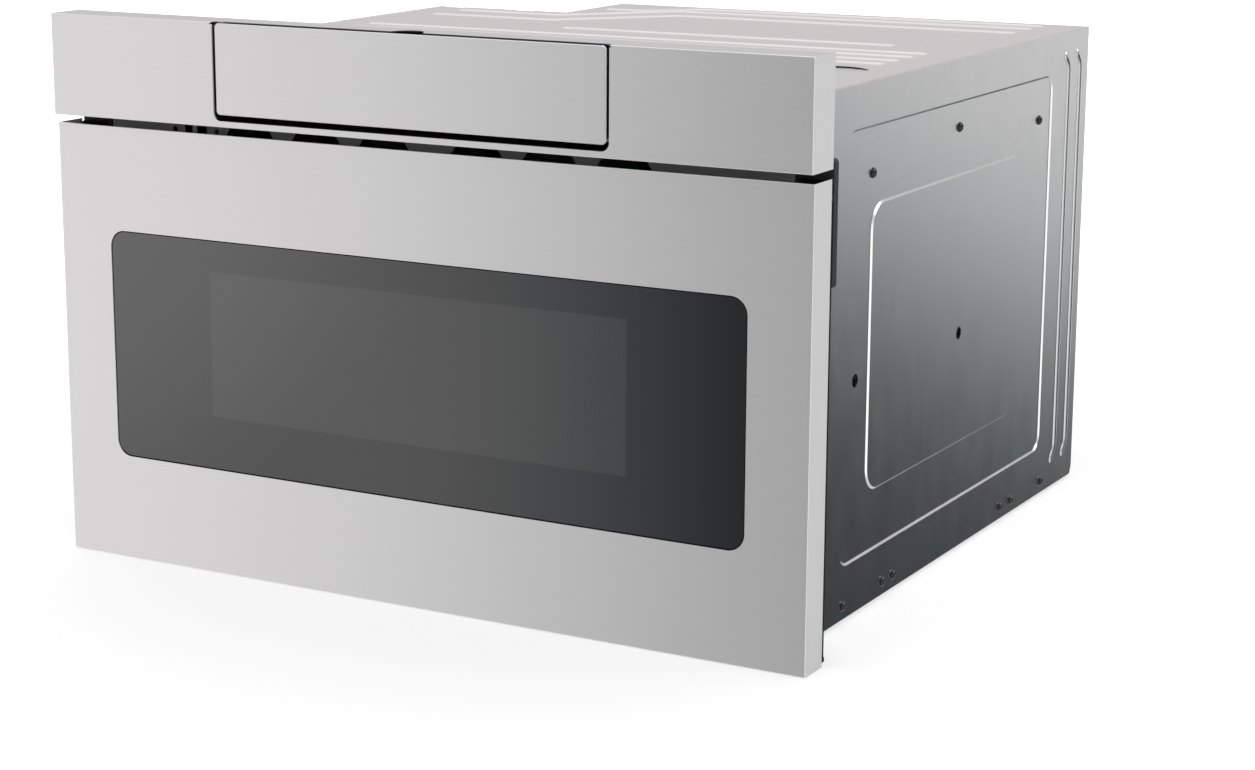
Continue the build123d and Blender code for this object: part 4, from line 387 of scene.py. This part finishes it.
coat(grey_enamel, "drawer_tray")
glass_ceramic = finish_of("glass ceramic", (0.74, 0.74, 0.71), 0.12, scale=2500.0, spread=0.10, bump=0.0)
coat(glass_ceramic, "ceramic_floor")

# ---- Drawer front core and choke
# A black moulding fills the folded skin, and a black painted plate closes its back.
# The plate's edge is the dark band beside the drawer.

coat(black_moulding, "drawer_front_core")
black_paint = finish_of("black paint", (0.006, 0.006, 0.007), 0.7, scale=700.0, spread=0.2)
black_paint.node_tree.nodes["Principled BSDF"].inputs["Specular IOR Level"].default_value = 0.1
coat(black_paint, "choke_frame", "viewing_screen")


def choke_edging(side):
    """A black edge strip along the choke plate, flush with the drawer's side, with a small foot at its lower end."""
    plate_low, plate_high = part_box("choke_frame")
    inner = plate_high[0]
    outer = inner + 0.00062
    front = plate_low[1] + 0.0001
    outlines = []
    for z, foot in ((0.0035, 0.0004), (0.0038, 0.0012), (0.0062, 0.0012), (0.0074, 0.0), (0.2990, 0.0), (0.3, -0.0002)):
        rear = plate_high[1] + 0.00015 + foot
        profile = ((inner, front), (outer - 0.0002, front), (outer, front + 0.0003), (outer, rear - 0.0003),
                   (outer - 0.0002, rear), (inner, rear))
        outlines.append([(side * x, y, z) for x, y in profile])
    return lofted("choke edging", outlines)


placed("choke_edging_right", choke_edging(1.0), black_paint, "drawer")
placed("choke_edging_left", choke_edging(-1.0), black_paint, "drawer")

# ---- Vent plate
# Sheet in dark grey paint behind the reveal, pierced by the air slots; its grey is set lighter than that paint, as
# painted light in the shade of the reveal.
# Satin, and lit only from above.

# Painted light: the grey is raised so that the shaded plate reads lighter.
vent_grey_painted_light = finish_of("vent grey with painted light", (0.34, 0.34, 0.35), 0.5, metallic=0.2, scale=800.0, spread=0.12)
coat(vent_grey_painted_light, "vent_plate")

# ---- Mounting brackets and trim backing
# Dark grey mouldings beside the body and behind the trim.
# Matt, with a fine grain.

grey_moulding = finish_of("dark grey moulding", (0.034, 0.035, 0.037), 0.6, scale=1500.0, spread=0.2, bump=0.2)
grey_moulding.node_tree.nodes["Principled BSDF"].inputs["Specular IOR Level"].default_value = 0.15
coat(grey_moulding, "mounting_bracket_right", "mounting_bracket_left")
coat(black_moulding, "trim_backing_frame")

# ---- Stainless skins
# The trim, the control panel and the drawer front are folded from one satin stainless sheet.
# The grain runs across it. Top faces are set glossier, and side faces are set duller, almost not metallic, so that they
# read lighter: painted light on the sides.


def ramp_along(tree, position, direction, start, end, low, high):
    """A smooth step of a position or a direction along a vector, from low at the start to high at the end."""
    along = tree.nodes.new("ShaderNodeVectorMath")
    along.operation = "DOT_PRODUCT"
    along.inputs[1].default_value = direction
    tree.links.new(position, along.inputs[0])
    step = tree.nodes.new("ShaderNodeMapRange")
    step.interpolation_type = "SMOOTHSTEP"
    step.inputs["From Min"].default_value = start
    step.inputs["From Max"].default_value = end
    step.inputs["To Min"].default_value = low
    step.inputs["To Max"].default_value = high
    tree.links.new(along.outputs["Value"], step.inputs["Value"])
    return step.outputs["Result"]


satin_steel = finish_of("satin stainless", (0.78, 0.775, 0.775), 0.38, metallic=1.0, scale=1400.0,
                        stretch=(0.015, 1.0, 1.0), spread=0.05, roughness_spread=0.08, bump=0.03)
brushed_across = satin_steel.node_tree.nodes.new("ShaderNodeCombineXYZ")
brushed_across.inputs["Y"].default_value = 0.3
brushed_across.inputs["Z"].default_value = 1.0
satin_steel.node_tree.links.new(brushed_across.outputs["Vector"],
                                satin_steel.node_tree.nodes["Principled BSDF"].inputs["Tangent"])
satin_steel.node_tree.nodes["Principled BSDF"].inputs["Anisotropic"].default_value = 0.88
facing = satin_steel.node_tree.nodes.new("ShaderNodeTexCoord").outputs["Normal"]
top_gloss = ramp_along(satin_steel.node_tree, facing, (0.0, 0.0, 1.0), 0.2, 0.9, 0.38, 0.16)
satin_steel.node_tree.links.new(top_gloss, satin_steel.node_tree.nodes["grain"].inputs["Roughness"])
# Painted light: side faces are made almost not metallic, so that they read as a lighter grey.
cheek = satin_steel.node_tree.nodes.new("ShaderNodeVectorMath")
cheek.operation = "ABSOLUTE"
satin_steel.node_tree.links.new(facing, cheek.inputs[0])
side_face_painted_light = ramp_along(satin_steel.node_tree, cheek.outputs["Vector"], (1.0, 0.0, 0.0), 0.5, 0.9, 1.0, 0.06)
satin_steel.node_tree.links.new(side_face_painted_light, satin_steel.node_tree.nodes["Principled BSDF"].inputs["Metallic"])
coat(satin_steel, "top_trim", "control_panel_face", "drawer_front_skin")

# ---- Window
# Dark outer glass with an opaque border and, behind its middle, the pierced steel screen.
# The inner glass and the touch glass have the same dark finish.


def combined(tree, operation, first, second):
    """Two values joined by one math operation."""
    node = tree.nodes.new("ShaderNodeMath")
    node.operation = operation
    for socket, value in zip(node.inputs, (first, second)):
        if isinstance(value, float):
            socket.default_value = value
        else:
            tree.links.new(value, socket)
    return node.outputs["Value"]


window_black = finish_of("window glass", (0.011, 0.011, 0.012), 0.05, scale=50.0, spread=0.0,
                         roughness_spread=0.01, bump=0.0)
window_tree = window_black.node_tree
window_tree.nodes["Principled BSDF"].inputs["IOR"].default_value = 1.8
coat(window_black, "inner_glass")
view_glass = window_black.copy()
view_glass.name = "glass over the screen"
view_tree = view_glass.node_tree
view_place = view_tree.nodes.new("ShaderNodeTexCoord").outputs["Object"]
view_edge = 0.0006
half_view = 0.170
view_low = 0.118
view_high = 0.2245
view_mask = 1.0
for direction, edge in (((1.0, 0.0, 0.0), half_view), ((-1.0, 0.0, 0.0), half_view), ((0.0, 0.0, 1.0), view_high),
                        ((0.0, 0.0, -1.0), -view_low)):
    inside = ramp_along(view_tree, view_place, direction, edge - view_edge, edge + view_edge, 1.0, 0.0)
    view_mask = combined(view_tree, "MULTIPLY", inside, view_mask)
screen_rows = view_tree.nodes.new("ShaderNodeTexWave")
screen_rows.bands_direction = "X"
screen_rows.inputs["Scale"].default_value = 140.0
screen_rows.inputs["Distortion"].default_value = 0.0
view_tree.links.new(view_place, screen_rows.inputs["Vector"])
right_part = ramp_along(view_tree, view_place, (1.0, 0.0, 0.0), 0.06, 0.16, 0.0, 0.35)
rows = combined(view_tree, "MULTIPLY", combined(view_tree, "SUBTRACT", screen_rows.outputs["Fac"], 0.5), right_part)
screen_level = combined(view_tree, "MULTIPLY", combined(view_tree, "ADD", rows, 1.0), view_mask)
lit_screen = view_tree.nodes.new("ShaderNodeMix")
lit_screen.data_type = "RGBA"
lit_screen.inputs["B"].default_value = (0.034, 0.034, 0.034, 1.0)
view_tree.links.new(screen_level, lit_screen.inputs["Factor"])
lit_screen.inputs["A"].default_value = (0.011, 0.011, 0.012, 1.0)
view_tree.links.new(lit_screen.outputs["Result"], view_tree.nodes["Principled BSDF"].inputs["Base Color"])
coat(view_glass, "window_glass")


def rounded_outline(low, high, radius):
    """Points round a rectangle in x and z, with round corners."""
    points = []
    for quarter, (x, z) in enumerate(((high[0] - radius, high[1] - radius), (low[0] + radius, high[1] - radius),
                                      (low[0] + radius, low[1] + radius), (high[0] - radius, low[1] + radius))):
        for step in range(9):
            angle = math.radians(90.0 * quarter + 90.0 * step / 8)
            points.append((x + radius * math.cos(angle), z + radius * math.sin(angle)))
    return points


def window_gasket():
    """A crowned rubber ring that fills the joint between the glass and the steel."""
    glass_low, glass_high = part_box("window_glass")
    corner_radius = 0.0115
    outlines = []
    for grow, depth in ((0.0, 0.0012), (0.0001, 0.0002), (0.0004, -0.0002), (0.0007, 0.0), (0.00085, 0.0012)):
        outline = rounded_outline((glass_low[0] - grow, glass_low[2] - grow),
                                  (glass_high[0] + grow, glass_high[2] + grow), corner_radius + grow)
        outlines.append([(x, glass_low[1] + depth, z) for x, z in outline])
    mesh = lofted("window gasket", outlines, closed=True)
    mesh.shade_smooth()
    return mesh


placed("window_gasket", window_gasket(), black_paint, "drawer")

# ---- Control pod
# A black moulded box behind the panel, with a black touch glass on its back.
# It tilts out over the drawer, and the glass then faces up.

coat(black_moulding, "pod_housing")
coat(window_black, "control_glass")
print_white = finish_of("printed marks", (0.62, 0.63, 0.64), 0.6, scale=4000.0, spread=0.05, bump=0.0)
touch_low, touch_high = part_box("control_glass")
touch_mid_z = (touch_low[2] + touch_high[2]) / 2
digit_pitch = 0.022
for number in range(10):
    digit_text = bpy.data.curves.new("digit", "FONT")
    digit_text.body = str(number)
    digit_text.size = 0.011
    digit_text.align_x = "CENTER"
    digit_text.align_y = "CENTER"
    digit_text.extrude = 0.00004
    digit_text.resolution_u = 3
    stencil = bpy.data.objects.new("digit stencil", digit_text)
    bpy.context.scene.collection.objects.link(stencil)
    bpy.context.view_layer.update()
    printed = bpy.data.meshes.new_from_object(stencil)
    bpy.data.objects.remove(stencil)
    bpy.data.curves.remove(digit_text)
    printed.transform(Matrix(((1, 0, 0, (number - 4.5) * digit_pitch), (0, 0, 1, touch_high[1] + 0.00004),
                              (0, -1, 0, touch_mid_z), (0, 0, 0, 1))))
    placed("touch_digit_%d" % number, printed, print_white, "control_pod")

# ---- Floor, light and camera
# A plain white studio floor, a soft lamp overhead and a pale surround with two dark flags.
# The camera stands where the photograph was taken from.


def soft_lamp(name, place, target, size, power):
    """A rectangular lamp that points at a target."""
    lamp = bpy.data.lights.new(name, "AREA")
    lamp.shape = "RECTANGLE"
    lamp.size, lamp.size_y = size
    lamp.energy = power
    stand = bpy.data.objects.new(name, lamp)
    bpy.context.scene.collection.objects.link(stand)
    stand.location = place
    stand.rotation_euler = (Vector(target) - Vector(place)).to_track_quat("-Z", "Y").to_euler()
    return stand


floor_mesh = bpy.data.meshes.new("floor")
floor_half = 12.0
floor_mesh.from_pydata([(-floor_half, -floor_half, 0.0), (floor_half, -floor_half, 0.0),
                        (floor_half, floor_half, 0.0), (-floor_half, floor_half, 0.0)], [], [(0, 1, 2, 3)])
floor = bpy.data.objects.new("floor", floor_mesh)
bpy.context.scene.collection.objects.link(floor)
floor_paint = bpy.data.materials.new("floor paint")
floor_paint.use_nodes = True
floor_mesh.materials.append(floor_paint)
floor_tree = floor_paint.node_tree
floor_shader = floor_tree.nodes["Principled BSDF"]
floor_shader.inputs["Base Color"].default_value = (0.8, 0.8, 0.8, 1.0)
floor_shader.inputs["Roughness"].default_value = 0.9
floor_ray = floor_tree.nodes.new("ShaderNodeLightPath")
floor_place = floor_tree.nodes.new("ShaderNodeNewGeometry").outputs["Position"]
# Painted light: for camera rays the floor glows, weakly within half a metre of the middle and fully white beyond 1.5 m,
# so it is darker near the object.
floor_shader.inputs["Emission Color"].default_value = (1.0, 1.0, 1.0, 1.0)
near = floor_tree.nodes.new("ShaderNodeVectorMath")
near.operation = "LENGTH"
floor_tree.links.new(floor_place, near.inputs[0])
floor_glow_by_distance = floor_tree.nodes.new("ShaderNodeMapRange")
floor_glow_by_distance.interpolation_type = "SMOOTHSTEP"
floor_glow_by_distance.inputs["From Min"].default_value = 0.5
floor_glow_by_distance.inputs["From Max"].default_value = 1.5
floor_glow_by_distance.inputs["To Min"].default_value = 0.35
floor_glow_by_distance.inputs["To Max"].default_value = 1.0
floor_tree.links.new(near.outputs["Value"], floor_glow_by_distance.inputs["Value"])
floor_tree.links.new(combined(floor_tree, "MULTIPLY", floor_glow_by_distance.outputs["Result"],
                              floor_ray.outputs["Is Camera Ray"]), floor_shader.inputs["Emission Strength"])
mirrored_floor = floor_tree.nodes.new("ShaderNodeBsdfTransparent")
floor_choice = floor_tree.nodes.new("ShaderNodeMixShader")
floor_tree.links.new(floor_ray.outputs["Is Glossy Ray"], floor_choice.inputs["Fac"])
floor_tree.links.new(floor_shader.outputs["BSDF"], floor_choice.inputs[1])
floor_tree.links.new(mirrored_floor.outputs["BSDF"], floor_choice.inputs[2])
floor_tree.links.new(floor_choice.outputs["Shader"], floor_tree.nodes["Material Output"].inputs["Surface"])

soft_lamp("overhead lamp", (-0.3, -0.3, 2.6), (0.0, 0.0, 0.2), (0.55, 0.55), 6.0)

world = bpy.data.worlds.new("studio surround")
bpy.context.scene.world = world
world.use_nodes = True
sky = world.node_tree
sky_place = sky.nodes.new("ShaderNodeTexCoord").outputs["Generated"]
sky_ray = sky.nodes.new("ShaderNodeLightPath")


def toward(*ramp):
    """A smooth step of the direction that a reflection looks in."""
    return ramp_along(sky, sky_place, *ramp)


horizon = toward((0.0, 0.0, 1.0), -0.12, 0.06, 0.92, 0.64)
ceiling = toward((0.0, 0.0, 1.0), 0.2, 0.7, 0.0, 0.4)
side_light = toward((0.94, -0.26, -0.22), 0.8, 0.95, 0.0, 0.8)
left_light = combined(sky, "ADD", toward((-0.73, -0.67, -0.12), 0.88, 0.98, 0.0, 0.05),
                      toward((-0.661, -0.74, -0.122), 0.985, 0.9994, 0.0, 0.5))
front_flag = combined(sky, "MULTIPLY", toward((-0.839, 0.545, 0.0), -0.165, 0.02, 1.0, 0.0),
                      toward((-0.906, -0.423, 0.0), -0.2, 0.2, 0.0, 1.0))
front_band = combined(sky, "MULTIPLY", toward((0.0, 0.0, 1.0), 0.08, 0.32, 1.0, 0.0),
                      toward((0.0, 0.0, 1.0), -0.62, -0.42, 0.0, 1.0))
front_flag = combined(sky, "MULTIPLY", front_flag, front_band)
side_flag = combined(sky, "MULTIPLY", toward((0.375, 0.927, 0.0), 0.72, 0.9, 0.0, 1.0),
                     toward((0.371, -0.15, -1.0), 0.10, 0.24, 0.0, 1.0))
side_flag = combined(sky, "MULTIPLY", side_flag, toward((0.0, 0.0, -1.0), 0.35, 0.65, 1.0, 0.0))
flags = combined(sky, "MULTIPLY", combined(sky, "MAXIMUM", front_flag, side_flag), 0.955)
back_light = toward((0.7, 0.45, 0.55), 0.93, 0.98, 0.0, 6.0)
bright = combined(sky, "ADD", combined(sky, "ADD", horizon, ceiling), combined(sky, "ADD", side_light, left_light))
bright = combined(sky, "ADD", bright, back_light)
mirrored = combined(sky, "MULTIPLY", combined(sky, "SUBTRACT", 1.0, flags), bright)
surround = sky.nodes["Background"]
tint = sky.nodes.new("ShaderNodeMix")
tint.data_type = "RGBA"
tint.inputs["A"].default_value = (1.0, 0.985, 0.99, 1.0)
tint.inputs["B"].default_value = (0.86, 1.0, 1.04, 1.0)
sky.links.new(flags, tint.inputs["Factor"])
sky.links.new(tint.outputs["Result"], surround.inputs["Color"])
sky.links.new(mirrored, surround.inputs["Strength"])
ambient = sky.nodes.new("ShaderNodeBackground")
ambient.inputs["Color"].default_value = (1.0, 1.0, 1.0, 1.0)
sky.links.new(combined(sky, "MAXIMUM", sky_ray.outputs["Is Camera Ray"], 0.85), ambient.inputs["Strength"])
choice = sky.nodes.new("ShaderNodeMixShader")
sky.links.new(sky_ray.outputs["Is Glossy Ray"], choice.inputs["Fac"])
sky.links.new(ambient.outputs["Background"], choice.inputs[1])
sky.links.new(surround.outputs["Background"], choice.inputs[2])
sky.links.new(choice.outputs["Shader"], sky.nodes["World Output"].inputs["Surface"])

photo_width = 1255
focal_pixels = 2726.0
camera_place = (1.00565, -1.82261, 0.58111)
camera_heading = 30.264
camera_dip = 12.695
camera_roll = -0.065
camera_data = bpy.data.cameras.new("camera")
camera_data.sensor_width = 36.0
camera_data.lens = focal_pixels / photo_width * camera_data.sensor_width
camera_data.shift_x = (photo_width / 2 - 547.5) / photo_width
camera_data.shift_y = -(770 / 2 - 374.2) / photo_width
camera = bpy.data.objects.new("camera", camera_data)
bpy.context.scene.collection.objects.link(camera)
camera.matrix_world = (Matrix.Translation(camera_place)
                       @ Matrix.Rotation(math.radians(camera_heading), 4, "Z")
                       @ Matrix.Rotation(math.radians(90.0 - camera_dip), 4, "X")
                       @ Matrix.Rotation(math.radians(camera_roll), 4, "Z"))
bpy.context.scene.camera = camera
bpy.context.scene.view_settings.view_transform = "Standard"
